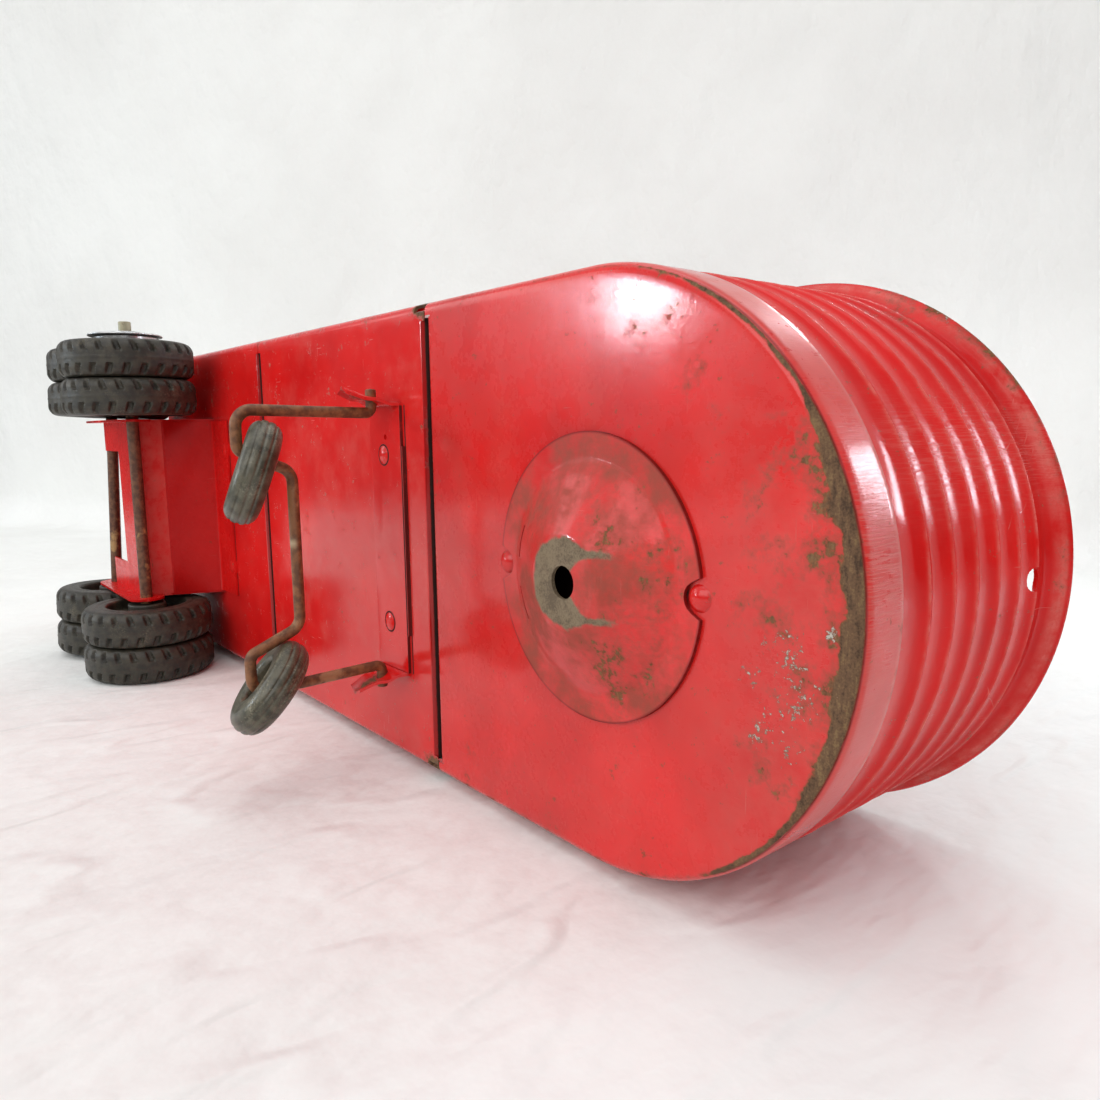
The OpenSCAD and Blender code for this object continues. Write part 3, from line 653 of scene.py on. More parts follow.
def makeFrontFloor():
    # the rim profile carried round the plan of the nose, with a lip turned up at the seam
    p = pan
    outerLine, innerLine = rimProfile(1.2)
    backX = body["seam1X"] + p["gap"] / 2
    floorBack = backX + p["lipBend"]
    extra = np.array([noseReach - floorBack])
    s = np.unique(np.concatenate([noseStations(backX, 2.0, 1.3), extra, -extra]))[:, None]
    outer = aroundNose(s, outerLine[:, 0], outerLine[:, 1])
    inner = aroundNose(s, innerLine[:, 0], innerLine[:, 1])
    x, y = outer[..., 0], outer[..., 1]
    flat = 1 - smooth(outerLine[:, 0], 54, 64)
    lift = waviness(x * 0.9 + 20, y, p["ripple"]) * flat
    outer[..., 2] += lift
    inner[..., 2] += lift
    midX = (x[1:, 1:] + x[:-1, :-1]) / 2
    midR = (outerLine[1:, 0] + outerLine[:-1, 0]) / 2
    keep = ~((midX < floorBack) & (midR < p["lipHalf"]))
    # a ragged band of rust along the nose's edge, widest ahead; "along" is the way from the middle out
    # over the bend and up the rim, and the angle is in degrees from the nose tip, positive to the left
    angle = np.degrees(np.arctan2(y, np.maximum(x, 0.01)))
    along = outerLine[:, 0] + outerLine[:, 1]
    reach = smooth(angle, -44, -4) * (1 - 0.8 * smooth(angle, 8, 40))
    ragged = 0.4 * np.sin(s / 3.1) * np.sin(s / 7.7 + 1) + 0.3 * np.sin(s / 1.7)
    inside = 65.5 - 2.6 * reach - ragged * (0.3 + 0.9 * reach)
    ends = between(angle, -84, -50, 48, 66)
    band = between(along, inside - 0.7, inside + 0.9, 66.6, 67.2)
    onFloor = outerLine[:, 1] < 1
    wear = band * (0.34 + 0.6 * ends) + spotField(x, y, wornSpots) * onFloor \
        + 0.17 * smooth(x, 34, 50) * between(y, -50, -25, 25, 45) * onFloor
    wear += 0.3 * bump(along - inside + 1.2, 3.2) * reach + 0.3 * bump(along - 78.4, 0.8) * ends
    rim = smooth(along, 66.9, 68)
    # the rim's pale film with a painted highlight along its edge; on the nose floor's front right a paler haze of film
    # and painted sheen
    rimFilmAndSheen = 0.3 + 0.5 * bump(along - 78.6, 0.7) - 0.15 * bump(angle - 12, 16) - 0.2 * bump(angle + 22, 12)
    film = 0.2 * smooth(x, 24, 50) * smooth(y, -55, -10) * (1 - rim) + rim * rimFilmAndSheen
    scrape = (0.85 * bump(angle + 10, 14) + 0.1) * rim + 0.05 * (1 - rim) * smooth(x, 20, 50)
    # painted shade under the hitch plate's dome, which shows near-black through its slits and hole, and a painted
    # shadow line along the bend by the rust band; on the outer face only
    dirt = smooth(30 - np.hypot(x - hitch["x"], y), 0, 3) + 0.5 * bump(along - 67.1, 0.35) * ends
    floor = sheetChunk(outer, inner, keep, joined=True, wear=wear, chip=spotField(x, y, chippedSpots) * onFloor,
                       film=film, dirt=dirt, scrape=scrape)
    floor["marks"]["dirt"][dirt.size:] = 0
    addPiece("frontFloor", ["front_floor"], [floor, lipChunk(floorBack, -1)], noseEnamel)


def lipChunk(fromX, way):
    # quarter bend and short upright across a seam, towards +x or -x
    p, t = pan, body["sheet"]
    outer = roundedPath([[-3, 0], [p["lipBend"], 0], [p["lipBend"], p["lipH"]]], [p["lipBend"]], 0.25)
    inner = roundedPath([[-3, t], [p["lipBend"] - t, t], [p["lipBend"] - t, p["lipH"]]],
                        [p["lipBend"] - t], 0.25 * (p["lipBend"] - t) / p["lipBend"])
    count = min(len(outer), len(inner))
    outer[0, 0] = inner[0, 0] = 0
    y = np.linspace(-p["lipHalf"], p["lipHalf"], 120)[:, None]
    faces = [places(fromX + way * line[:count, 0], y, line[:count, 1]) for line in (outer, inner)]
    depth = outer[:count, 1]
    run = outer[:count, 0] / p["lipBend"]
    # painted shade in the seam's groove: the lip towards +x is darkened down its slope from the start, and both turn
    # near-black as the bend deepens
    if way > 0:
        shade, rusty = 0.4 * smooth(run, 0.02, 0.3), 0.25
    else:
        shade, rusty = 0 * run, 0.3 + 0.3 * smooth(y, -10, 25)
    rusty = rusty + 0.2 * np.sin(y / 9.0 + way) * np.sin(y / 23.0)
    return sheetChunk(*faces, wear=smooth(run, 0.2, 0.8) * rusty,
                      dirt=np.maximum(shade, 1.2 * smooth(depth, 0.35, 1.0)))


def makePan(name, node, frontX, backX, reliefs, material):
    # the rim profile drawn straight along x, with a lip at both ends
    p = pan
    outerLine, innerLine = [np.concatenate([line[:0:-1] * [-1, 1], line]) for line in rimProfile(2.5)]
    front, back = frontX - p["gap"] / 2, backX + p["gap"] / 2
    floorFront, floorBack = front - p["lipBend"], back + p["lipBend"]
    notch = front - p["reliefLen"]
    x = np.concatenate([np.arange(back, front, 2.0), [front, floorFront, floorBack, notch]])
    x = np.unique(np.round(x, 4))[:, None]
    across = outerLine[:, 0]
    lift = waviness(x + 40, across, p["ripple"]) * (1 - smooth(np.abs(across), 54, 63))
    faces = [places(x, line[:, 0], line[:, 1] + lift) for line in (outerLine, innerLine)]
    midX = (x[1:] + x[:-1]) / 2
    midY = np.abs(outerLine[1:, 0] + outerLine[:-1, 0]) / 2
    midZ = (outerLine[1:, 1] + outerLine[:-1, 1]) / 2
    keep = ~(((midX < floorBack) | (midX > floorFront)) & (midY < p["lipHalf"]))
    wear = 0.22 * (bump(x - front, 2.5) + bump(x - back, 2.5)) \
        + 0.24 * bump(np.abs(across) + outerLine[:, 1] - 66.2, 1.6)
    if reliefs:
        # open corners beside the front lip, rusty round them
        sideY = body["halfWidth"] - body["sheet"]
        keep &= ~((midX > notch) & (midY > sideY - p["reliefW"]) & (midY < sideY + 0.2) & (midZ < p["bend"]))
        wear = wear + 0.75 * smooth(np.abs(across), 60, 65) * smooth(x, front - 9, front - 3)
    # a paler patch of film and painted sheen towards the front
    film = 0.16 * bump(across - 8, 30) * smooth(x, -150, -75)
    addPiece(name, [node], [sheetChunk(*faces, keep, wear=wear, film=film), lipChunk(floorFront, 1),
                            lipChunk(floorBack, -1)], material)


hitch = {
    "x": 0.8, "height": 8.45, "holeR": 3.65,
    "tipR": 10.3, "baseR": 26.0, "edgeR": 32.1,
    "slitR": 22.8, "slitW": 0.7, "slitFrom": [148, 186], "slitSpan": 20.5,
    "rivetX": [31.9, -30.1], "scallopR": 3.4,
}


def makeHitchPlate():
    # a line turned about z: worn flat tip, dome, and a flange cut back round two rivets, with two slits
    h, t = hitch, body["sheet"]
    angle = np.radians(np.arange(0, 360, 1.5))
    marks = np.radians([a + b for a in h["slitFrom"] for b in (0, h["slitSpan"])])
    angle = np.sort(np.concatenate([angle, marks]))[:, None]
    edge = np.full(angle.shape, h["edgeR"])
    for rivetX in h["rivetX"]:
        reach = abs(rivetX - h["x"])
        off = (angle - (0 if rivetX > 0 else pi) + pi) % (2 * pi) - pi
        side = h["scallopR"] ** 2 - (reach * np.sin(off)) ** 2
        bite = reach * np.cos(off) - np.sqrt(np.maximum(side, 0))
        edge = np.where((side > 0) & (bite > 0), np.minimum(edge, bite), edge)
    inner = h["slitR"] - h["slitW"] / 2
    share = np.unique(np.round(np.concatenate([
        np.linspace(h["holeR"], h["tipR"] + 1.5, 12), np.linspace(h["tipR"] + 2, inner - 0.01, 18),
        [inner, inner + h["slitW"]], np.linspace(inner + h["slitW"] + 0.3, h["baseR"] + 1, 8),
        np.linspace(h["baseR"] + 1.4, h["edgeR"], 8)]), 4))
    fixed = h["baseR"] + 1
    r = np.where(share < fixed, share, fixed + (share - fixed) * (edge - fixed) / (h["edgeR"] - fixed))
    # the height over the radius: level tip, straight fall to the flange and level flange, joined by arcs
    line = roundedPath([[h["holeR"], -h["height"]], [h["tipR"], -h["height"]], [h["tipR"] + 1.2, 0.6 - h["height"]],
                        [h["baseR"] - 3, -2.6], [h["baseR"], -t], [h["edgeR"] + 1, -t]],
                       [1.5, 3.0, 5.0, 3.0], 0.4)
    z = np.interp(r, line[:, 0], line[:, 1])
    x, y = h["x"] + r * np.cos(angle), r * np.sin(angle)
    midA = np.degrees((angle[:, 0] + np.append(angle[1:, 0], angle[0, 0] + 2 * pi)) / 2)[:, None]
    midR = (share[1:] + share[:-1]) / 2
    keep = np.ones((len(angle), len(share) - 1), bool)
    for start in h["slitFrom"]:
        keep &= ~((midA > start) & (midA < start + h["slitSpan"]) & (np.abs(midR - h["slitR"]) < h["slitW"] / 2))
    wear, bare = wornHitch(x - h["x"], y, r)
    outside = 1 - smooth(r, 20, 30)
    # painted shadow along the flange's outer edge, and a little darker over the dome towards the front
    dirt = 0.5 * smooth(share, h["edgeR"] - 0.35, h["edgeR"]) + 0.06 * smooth(x, -14, 12) * outside
    sheet = sheetChunk(places(x, y, z), places(x, y, z + t), keep, closedU=True, wear=wear, bare=bare,
                       film=0.1 * smooth(r, 4, 8) * outside + 0.06, scrape=0.08, dirt=dirt)
    addPiece("hitchPlate", ["hitch_plate"], [sheet], hitchEnamel, bevel=0.12)


def wornHitch(x, y, r):
    # stains spread over the front of the dome; the ring at the tip is bare except on its front side, with
    # streaks down the dome
    away = np.abs(np.degrees(np.arctan2(y, x)))
    wavy = 0.5 * np.sin(away / 11.0 + 1) + 0.3 * np.sin(away / 4.0)
    ring = between(r, 2.6, 3.6, 8.4 + 0.5 * wavy, 11.6 + 0.5 * wavy) * smooth(away, 30, 64)
    streaks = (bump(y - 7.2, 1.2) + bump(y + 6.9, 1.2)) * between(x, 1, 6, 10, 19)
    edge = 0.24 * smooth(r, 29.4, 31.6) * (0.6 + 0.4 * np.sin(away / 9.0))
    front = 0.24 * smooth(x, -1, 9) * (1 - smooth(r, 19, 27))
    hollow = 0.27 * between(r, 20, 26, 29, 31) * smooth(x, -8, 12)
    cloud = 0.2 * bump(np.hypot(x - 9, y + 12), 7) + 0.26 * bump(np.hypot(x - 8, y - 17), 9) \
        + 0.14 * bump(np.hypot(x + 9, y + 14), 6) + 0.18 * bump(np.hypot(x - 20, y + 2), 9)
    return np.clip(hollow + front + cloud + edge, 0, 0.42), np.clip(0.95 * ring + 0.75 * streaks, 0, 1)


rivet = {
    "tail": 0.8, "tailShare": 0.9, "shankShare": 0.55,
    "hitch": {"radius": 2.85, "headH": 1.3},
    "leg": {"x": -90.1, "y": 25.3, "radius": 2.9, "headH": 0.9},
    "bogie": {"x": -229.8, "y": 25, "radius": 2.5, "headH": 0.5},
}


def rivetChunk(x, y, seat, radius, headH, stack):
    # a domed head under the sheet and a flat upset tail above it
    sphere = (radius ** 2 + headH ** 2) / (2 * headH)
    a = np.linspace(0, asin(radius / sphere), 8)
    head = np.stack([sphere * np.sin(a), -headH + sphere * (1 - np.cos(a))], -1)
    tailR, shankR = radius * rivet["tailShare"], radius * rivet["shankShare"]
    tail = roundedPath([[0.001, stack + rivet["tail"]], [tailR, stack + rivet["tail"]], [tailR, stack]], [0.3], 0.15)
    line = np.concatenate([head, [[shankR, 0], [shankR, stack]], tail[::-1]])
    line[0, 0] = 0.001
    around = np.radians(np.arange(0, 360, 12))[:, None]
    points = places(x + line[:, 0] * np.cos(around), y + line[:, 0] * np.sin(around), seat + line[:, 1])
    return gridChunk(points, closedU=True, wear=0.25 * smooth(line[:, 0], radius * 0.8, radius))


def makeRivets():
    # the hitch's go through the floor alone, the others also through a bracket under it
    t = body["sheet"]
    g = rivet["hitch"]
    heads = [rivetChunk(x, 0, 0, g["radius"], g["headH"], t) for x in hitch["rivetX"]]
    addPiece("hitchRivets", ["hitch_rivets"], heads, redEnamel)
    for key, material in (("leg", bracketEnamel), ("bogie", redEnamel)):
        g = rivet[key]
        heads = [rivetChunk(g["x"], side * g["y"], -t, g["radius"], g["headH"], 2 * t) for side in (-1, 1)]
        addPiece(key + "Rivets", [key + "_rivets"], heads, material)


def bogiePaintedLight(facing):
    # painted light and shade: the front plate is darkened with painted shade and the sloped plate below it paled with
    # painted light
    down = -facing[:, 1]
    front = smooth(facing[:, 0], 0.8, 0.9) * smooth(down, 0.26, 0.32)
    facetPaintedLight = smooth(facing[:, 0], 0.95, 0.97) * between(down, 0.1, 0.15, 0.22, 0.26)
    return {"dirt": 0.2 * front, "film": 0.34 * facetPaintedLight}


ears = {
    "y": 39.5, "drop": 14.5, "waist": 8.0, "frontX": -79.9, "backX": -98.0, "pivotX": -88.0, "pivotZ": -5.5,
    "waistHalf": 5.2, "tipHalf": 3.0, "holeR": 1.75, "splay": 0.36, "trough": 1.3, "root": 1.6,
    "cutBelow": 0.25,
}


def makeLegBracket():
    # the folded plate as it is, and two ears that narrow downwards, splay outwards and are troughed lengthwise
    e, t = ears, body["sheet"]
    down = np.linspace(0, e["drop"], 40)[None]
    across = np.linspace(-1, 1, 45)[:, None]
    at = [0, e["waist"], e["drop"]]
    front = np.interp(down, at, [e["frontX"], e["pivotX"] + e["waistHalf"], e["pivotX"] + e["tipHalf"]])
    back = np.interp(down, at, [e["backX"], e["pivotX"] - e["waistHalf"], e["pivotX"] - e["tipHalf"]])
    x = back + (front - back) * (across + 1) / 2
    z = -down + 0 * across
    keep, x, z = roundHole(x, z, e["pivotX"], e["pivotZ"], e["holeR"], 0.15)
    out = e["splay"] * np.maximum(-z - e["root"], 0) * smooth(-z, e["root"], 7) \
        - e["trough"] * np.abs(across) ** 1.5 * smooth(-z, 5, 10)
    wear = 0.5 * bump(across + 0.1, 0.45) * smooth(down, 4, 7)
    sheets = [sheetChunk(places(x, side * (e["y"] + out + t), z), places(x, side * (e["y"] + out), z), keep, wear=wear)
              for side in (-1, 1)]
    cutY = (-t - e["cutBelow"] - body["middleZ"]) / 1000
    dressed("legBracket", "leg_bracket", bracketEnamel, 0.15, cutY=cutY, extra=meshOf("earSheets", sheets))


legWire = {
    "x": -88.0, "radius": 1.55,
    "half": [[44.5, -5.5], [37.55, -5.5], [38.5, -45], [27.8, -45], [21.7, -30.3]],
    "bends": [1.9, 4.5, 2.6, 4.5],
}


def tubeAlong(line, radius, sides, endRound):
    # circles square to a path, with the ends drawn in to a rounded cap
    along = np.gradient(line, axis=0)
    along /= np.linalg.norm(along, axis=1)[:, None]
    across = np.cross(along, np.array([1.0, 0, 0]))
    across /= np.linalg.norm(across, axis=1)[:, None]
    lift = np.cross(across, along)
    run = np.concatenate([[0], np.cumsum(np.linalg.norm(np.diff(line, axis=0), axis=1))])
    near = np.minimum(run, run[-1] - run)
    size = radius * np.sqrt(np.clip(1 - (1 - np.minimum(near / endRound, 1)) ** 2, 0.0004, 1))
    a = np.linspace(0, 2 * pi, sides, endpoint=False)
    ring = across[:, None] * np.cos(a)[:, None] + lift[:, None] * np.sin(a)[:, None]
    points = line[:, None] + ring * size[:, None, None]
    caps = [np.repeat(line[i][None, None], sides, 1) for i in (0, -1)]
    return np.concatenate([caps[0], points, caps[1]])


def makeLegWire():
    w = legWire
    half = np.array(w["half"])
    corners = np.concatenate([half, half[::-1] * [-1, 1]])
    flat = divided(roundedPath(corners, w["bends"] + w["bends"][::-1], 0.45), 0.8)
    # three more points in the first and last stretch, for the rounded ends
    ends = np.linspace(0, 1, 5)[1:-1, None]
    flat = np.concatenate([flat[:1], flat[0] + (flat[1] - flat[0]) * ends, flat[1:-1],
                           flat[-2] + (flat[-1] - flat[-2]) * ends, flat[-1:]])
    points = tubeAlong(places(w["x"], flat[:, 0], flat[:, 1]), w["radius"], 28, 0.5)
    # one small pale chip on the cross bar
    chip = 0.9 * bump(points[..., 1] + 2.0, 1.1) * smooth(-points[..., 2], 30, 31.4)
    addPiece("legWire", ["leg_wire"], [gridChunk(points, closedV=True, tip=chip)], rustyWire, "leg")


ring = {
    "radius": 14.3, "holeR": 6.2, "width": 9.0, "round": 4.0, "holeRound": 1.6,
    "grooves": [-2.1, 0.0, 2.1], "grooveDepth": 0.24, "grooveW": 0.34, "uneven": 0.07,
    "right": ([-87.15, -21.97, -41.3], [0.307, 0.345, 0.887]),
    "left": ([-88.59, 37.58, -39.77], [0.231, 0.6275, 0.7437]),
}


def turnedOnto(points, place, axis):
    # a shape about z tipped onto an axis and moved to its place
    axis = unit(np.array(axis))
    tip, swing = acos(axis[2]), atan2(axis[1], axis[0])
    c, s = cos(tip), sin(tip)
    x = points[..., 0] * c + points[..., 2] * s
    z = -points[..., 0] * s + points[..., 2] * c
    c, s = cos(swing), sin(swing)
    return np.stack([x * c - points[..., 1] * s, x * s + points[..., 1] * c, z], -1) + np.array(place)


def makeRingTyres():
    # a rounded band turned about its axis, with shallow grooves round the tread
    g = ring
    half = g["width"] / 2
    line = roundedPath([[g["holeR"], 0], [g["holeR"], half], [g["radius"], half], [g["radius"], -half],
                        [g["holeR"], -half], [g["holeR"], 0]],
                       [g["holeRound"], g["round"], g["round"], g["holeRound"]], 0.3)
    line = divided(line, 0.25)
    depth = sum(bump(line[:, 1] - h, g["grooveW"]) for h in g["grooves"])
    line[:, 0] -= g["grooveDepth"] * depth * smooth(line[:, 0], g["radius"] - 2, g["radius"] - 0.6)
    a = np.radians(np.arange(0, 360, 3))[:, None]
    tread = g["uneven"] * smooth(line[:, 0], 8, 13)
    r = line[:, 0] + tread * np.sin(3 * a + 0.6) - tread
    points = places(r * np.cos(a), r * np.sin(a), line[:, 1])
    for side in ("right", "left"):
        chunk = gridChunk(turnedOnto(points, *g[side]), closedU=True, closedV=True)
        addPiece("ringTyre" + side.title(), ["ring_tyre_" + side], [chunk], ringRubber, "ring_" + side,
                 sharp=60)


tyre = {
    "radius": 25.4, "width": 14.6, "gap": 0.3, "outerY": 69.1, "round": 4.0,
    "boreR": 2.48, "hubR": 7.5, "recessR": 15.0, "outerRecess": 8.3, "innerRecess": 4.2,
    "notches": 25, "notchW": 2.1, "notchDepth": 1.8, "notchLen": 4.6, "notchSlant": 0.17, "notchSteps": 16,
    "treadFrom": 24, "mouldLine": 0.12, "beadR": 18.6, "bead": 0.25,
    "frontX": -249.0, "rearX": -301.0, "axleZ": -31.3,
    "lean": 2.7, "leanY": 37.1, "rodSlide": -0.077, "leftTyreSlide": -0.578,
}


def leaned(points, slide=0.0):
    # pushed along the axle, then turned about the rear axle's left bore
    c, s = cos(radians(tyre["lean"])), sin(radians(tyre["lean"]))
    y, z = points[..., 1] + slide - tyre["leanY"], points[..., 2] - tyre["axleZ"]
    return np.stack([points[..., 0], tyre["leanY"] + y * c + z * s, tyre["axleZ"] - y * s + z * c], -1)


def tyreShape():
    # the section turned about the axle, with a row of blunt notches let into each shoulder
    g = tyre
    r, w = g["radius"], g["width"]
    floor = w - g["outerRecess"]
    section = roundedPath([[g["boreR"], 0], [g["hubR"], 0], [g["hubR"], g["innerRecess"]],
                           [g["recessR"], g["innerRecess"]], [g["recessR"] + 0.4, 0], [r, 0], [r, w],
                           [g["recessR"] + 0.4, w], [g["recessR"], floor], [g["boreR"], floor], [g["boreR"], 0]],
                          [0.6, 0.6, 0.6, 1.2, g["round"], g["round"], 1.2, 0.6, 0.2], 0.45)
    section = divided(section, 0.55)
    pitch = 2 * pi / g["notches"]
    a = np.arange(g["notches"] * g["notchSteps"])[:, None] * pitch / g["notchSteps"]
    # moulding line round the tread and a low bead on each side wall
    rr, h = section[:, 0], section[:, 1]
    bead = g["bead"] * bump(rr - g["beadR"], 0.5)
    onTread = rr > g["treadFrom"]
    rr = rr - g["mouldLine"] * onTread + g["mouldLine"] * bump(h - w / 2, 0.25) * onTread
    h = h + np.where(h < 1, bead, 0) - np.where(h > w - 1, bead, 0)
    depth = 0
    for across, shift in ((h, 0.0), (w - h, 0.5)):
        slant = g["notchSlant"] * (across - 3) / 3
        away = np.abs((a / pitch - shift + slant + 0.5) % 1 - 0.5) * pitch * r
        depth = depth + (1 - smooth(away, g["notchW"] / 2 - 0.25, g["notchW"] / 2 + 0.25)) \
            * (1 - smooth(across, g["notchLen"] - 0.3, g["notchLen"] + 0.4))
    cut = np.maximum(rr - (r - g["notchDepth"]), 0) * depth
    return places((rr - cut) * np.cos(a), (rr - cut) * np.sin(a), h)


def makeTyres():
    g = tyre
    shape = tyreShape()
    for end, axleX in (("front", g["frontX"]), ("rear", g["rearX"])):
        for side, way in (("left", 1), ("right", -1)):
            for slot, inward in (("inner", 1), ("outer", 0)):
                # z of the shape goes outwards along y
                y = g["outerY"] - g["width"] - inward * (g["width"] + g["gap"])
                points = places(axleX + shape[..., 0], way * (y + shape[..., 2]), g["axleZ"] - shape[..., 1])
                if end == "rear":
                    points = leaned(points, g["leftTyreSlide"] if side == "left" else 0)
                name = "%s_%s_%s" % (end, side, slot)
                addPiece("tyre" + name.title().replace("_", ""), ["tyre_" + name],
                         [gridChunk(points, closedU=True, closedV=True)], roadRubber, "wheel_" + name,
                         sharp=50)


axle = {
    "radius": 2.4, "leftY": 69.5, "rightY": -77.6, "endRound": 0.5,
    "capInset": 5.4, "capR": 14.0, "neckR": 11.5, "capT": 0.8, "capDepth": 3.2,
    "washerR": 6.0, "washerT": 1.2, "washerRound": 0.3,
}


def turnedAboutAxle(line, axleX, steps=96):
    # a (y, radius) line turned about an axle
    a = np.linspace(0, 2 * pi, steps, endpoint=False)[:, None]
    r = line[:, 1]
    points = places(axleX + r * np.cos(a), line[:, 0], tyre["axleZ"] + r * np.sin(a))
    return leaned(points, tyre["rodSlide"]) if axleX == tyre["rearX"] else points


def makeAxles():
    g = axle
    r, t = g["radius"], g["capT"]
    rod = divided(roundedPath([[g["rightY"], 0.001], [g["rightY"], r], [g["leftY"], r], [g["leftY"], 0.001]],
                              [g["endRound"], g["endRound"]], 0.2), 3)
    cap = roundedPath([[0, r], [0, g["capR"]], [t, g["capR"]], [t, g["neckR"]], [g["capDepth"], g["neckR"]],
                       [g["capDepth"], g["neckR"] - t], [t, g["neckR"] - t], [t, r], [0, r]],
                      [0.35, 0.35, 0.5, 0.35, 0.35, 0.3, 0.0], 0.12)
    disc = roundedPath([[0, r], [0, g["washerR"]], [g["washerT"], g["washerR"]], [g["washerT"], r], [0, r]],
                       [g["washerRound"], g["washerRound"], 0.0], 0.12)
    for end in ("front", "rear"):
        axleX, bodyName = tyre[end + "X"], "axle_" + end
        # the rod's ends are rubbed bright
        turned = gridChunk(turnedAboutAxle(rod, axleX, 40), closedU=True, tip=smooth(np.abs(rod[:, 0]), 62, 64))
        addPiece(end + "Axle", [end + "_axle"], [turned], brownRod, bodyName)
        caps, washers = [], []
        for outer, way in ((g["leftY"] - g["capInset"], -1), (g["rightY"] + g["capInset"], 1)):
            line = np.stack([outer + way * cap[:, 0], cap[:, 1]], -1)
            caps.append(gridChunk(turnedAboutAxle(line, axleX), closedU=True))
            start = outer if way < 0 else outer - g["washerT"]
            line = np.stack([start + disc[:, 0], disc[:, 1]], -1)
            washers.append(gridChunk(turnedAboutAxle(line, axleX, 64), closedU=True))
        addPiece(end + "HubCaps", [end + "_hub_caps"], caps, dullPlating, bodyName)
        addPiece(end + "Washers", [end + "_washers"], washers, dullPlating, bodyName)


makeWall()
makeFrontFloor()
makePan("middleFloor", "middle_floor", body["seam1X"], body["seam2X"], True, middleEnamel)
makePan("rearFloor", "rear_floor", body["seam2X"], body["rearX"], False, rearEnamel)
makeHitchPlate()
makeRivets()
makeLegWire()
makeRingTyres()
makeTyres()
makeAxles()
makeLegBracket()
dressed("bogieBracket", "bogie_bracket", bogieEnamel, 0.2, fold=1.2, marksOf=bogiePaintedLight)
dressed("rearPanel", "rear_panel", redEnamel, 0.3)

warmWhite = (1, 0.98, 0.96)
studio = {
    "camera": (0.26628, -0.133516, 0.10259), "turn": (81.733, 0.675, 50.648), "lens": 27.807,
    "cloth": (0.865, 0.87, 0.845), "clothShade": (0.825, 0.825, 0.80),
    "tableBack": ((-0.890, -0.007), (0.051, 0.550)),    # two places on the table's far edge
    "backHigh": 1.1, "backBend": 0.035,
    "above": (0.93, 0.95, 1.0), "level": (0.20, 0.19, 0.185), "below": (0.09, 0.08, 0.075),
    "skyStrength": 0.6,
    # each lamp's place, aim, size, watts, colour, and its outline where that isn't a rectangle
    "lamps": {
        "topSoftbox": ((0.0, -0.2, 1.3), (0, 0, 0.05), (1.3, 1.1), 5.75, (1, 0.985, 0.97)),
        "fillSoftbox": ((0.25, -1.15, 0.75), (0.02, 0, 0.07), (1.3, 0.8), 7.0, warmWhite),
        "leftSoftbox": ((-1.05, -0.75, 0.6), (-0.1, 0, 0.07), (0.5, 0.5), 1.5, warmWhite),
        "rightSoftbox": ((0.95, -0.55, 0.45), (0.15, 0, 0.03), (0.5, 0.6), 0.8, warmWhite),
        "sideWindow": ((-0.79, -0.933, 0.335), (0.144, -0.01, 0.128), (0.22, 0.2), 0.85, (0.66, 0.84, 1.0), "ELLIPSE"),
        "windowCore": ((-0.755, -0.93, 0.305), (0.144, -0.01, 0.126), (0.075, 0.07), 1.2, (0.88, 0.96, 1.0), "ELLIPSE"),
        "backWindow": ((0.375, 0.453, 0.22), (0.19, 0.03, 0.09), (0.08, 0.15), 0.62, (0.84, 0.91, 1.0)),
        "farWindow": ((0.005, 0.45, 0.345), (0.165, 0.03, 0.125), (0.07, 0.05), 0.3, (0.9, 0.95, 1.0)),
    },
}


def softLight(name, place, aim, size, watts, colour, outline="RECTANGLE"):
    lamp = bpy.data.lights.new(name, "AREA")
    lamp.shape = outline
    lamp.size, lamp.size_y = size
    lamp.energy = watts
    lamp.color = colour
    holder = placed(name, lamp)
    holder.location = place
    holder.rotation_euler = (Vector(aim) - Vector(place)).to_track_quat("-Z", "Y").to_euler()


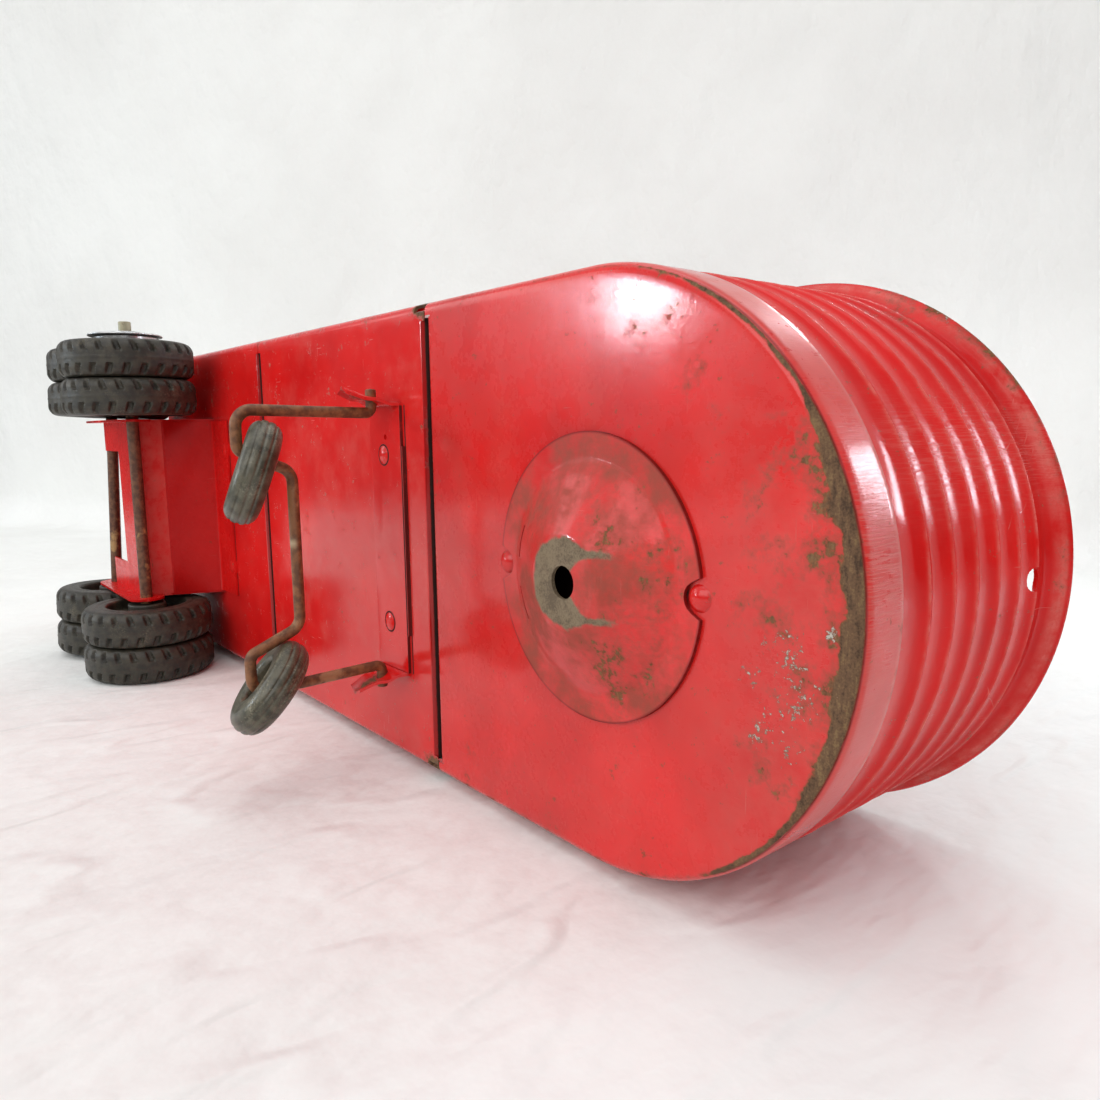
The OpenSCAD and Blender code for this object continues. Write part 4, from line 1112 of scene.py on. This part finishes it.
def clothMaterial():
    # pale cloth with soft creases, longer one way, and a few sharper folds where it lies flat
    material, shader, coords = startMaterial("paleCloth")
    broad = noise(coords, 5, 4, 0.55)
    crease = noise(stretched(coords, (16, 7, 10), (0, 0, 0.5)), 1.0, 5, 0.5)
    folds = noise(stretched(coords, (30, 11, 16), (0, 0, -0.7)), 1.0, 2, 0.5)
    folds = step(abs(folds - 0.5), 0.07, 0.0) * step(put(coords.tree, "SeparateXYZ", {0: coords}, "Z"), 0.02, 0.0)
    folds = folds * step(broad, 0.4, 0.6)
    height = crease + noise(coords, 60, 4, 0.5) * 0.1 + folds * 0.07
    feed(shader, {"Base Color": mixed(step(broad, 0.35, 0.65), studio["cloth"], studio["clothShade"]),
                  "Roughness": 0.9, "Specular IOR Level": 0.1, "Normal": reliefOf(height, 0.9, 0.011)})
    return material


def makeTable():
    # cloth that lies flat and bends up into a backdrop along its far edge
    s = studio
    a, b = np.array(s["tableBack"][0]), np.array(s["tableBack"][1])
    aside = unit(b - a)
    ahead = np.array([-aside[1], aside[0]])
    line = divided(roundedPath([[-1.6, 0], [0, 0], [0.02, s["backHigh"]]], [s["backBend"]], 0.006), 0.04)
    across = np.linspace(-0.06, 2.4, 60)[:, None]
    flat = a + ahead * line[None, :, :1] + aside * across[:, :, None]
    chunk = gridChunk(places(flat[..., 0], flat[..., 1], line[:, 1]))
    mesh = bpy.data.meshes.new("tableCloth")
    mesh.from_pydata(chunk["points"].tolist(), [], chunk["quads"].tolist())
    mesh.polygons.foreach_set("use_smooth", np.ones(len(mesh.polygons), bool))
    mesh.materials.append(clothMaterial())
    cloth = placed("tableCloth", mesh)


def makeStudio():
    s = studio
    world = bpy.data.worlds.new("softRoom")
    bpy.context.scene.world = world
    world.use_nodes = True
    tree = world.node_tree
    # pale above, darker at eye level and below
    up = put(tree, "SeparateXYZ", {0: put(tree, "TexCoord", {}, "Generated")}, "Z")
    colour = mixed(step(up, -0.05, -0.2), s["level"], s["below"])
    colour = mixed(step(up, 0.0, 0.5), colour, s["above"])
    feed(tree.nodes["Background"], {"Color": colour, "Strength": s["skyStrength"]})
    for name, settings in s["lamps"].items():
        softLight(name, *settings)
    makeTable()
    camera = bpy.data.cameras.new("camera")
    holder = placed("camera", camera)
    holder.location = s["camera"]
    holder.rotation_euler = [radians(v) for v in s["turn"]]
    camera.lens = s["lens"]
    camera.sensor_width = 36
    camera.clip_start = 0.01
    bpy.context.scene.camera = holder
    bpy.context.scene.view_settings.view_transform = "Standard"


makeStudio()
print("studio ready")
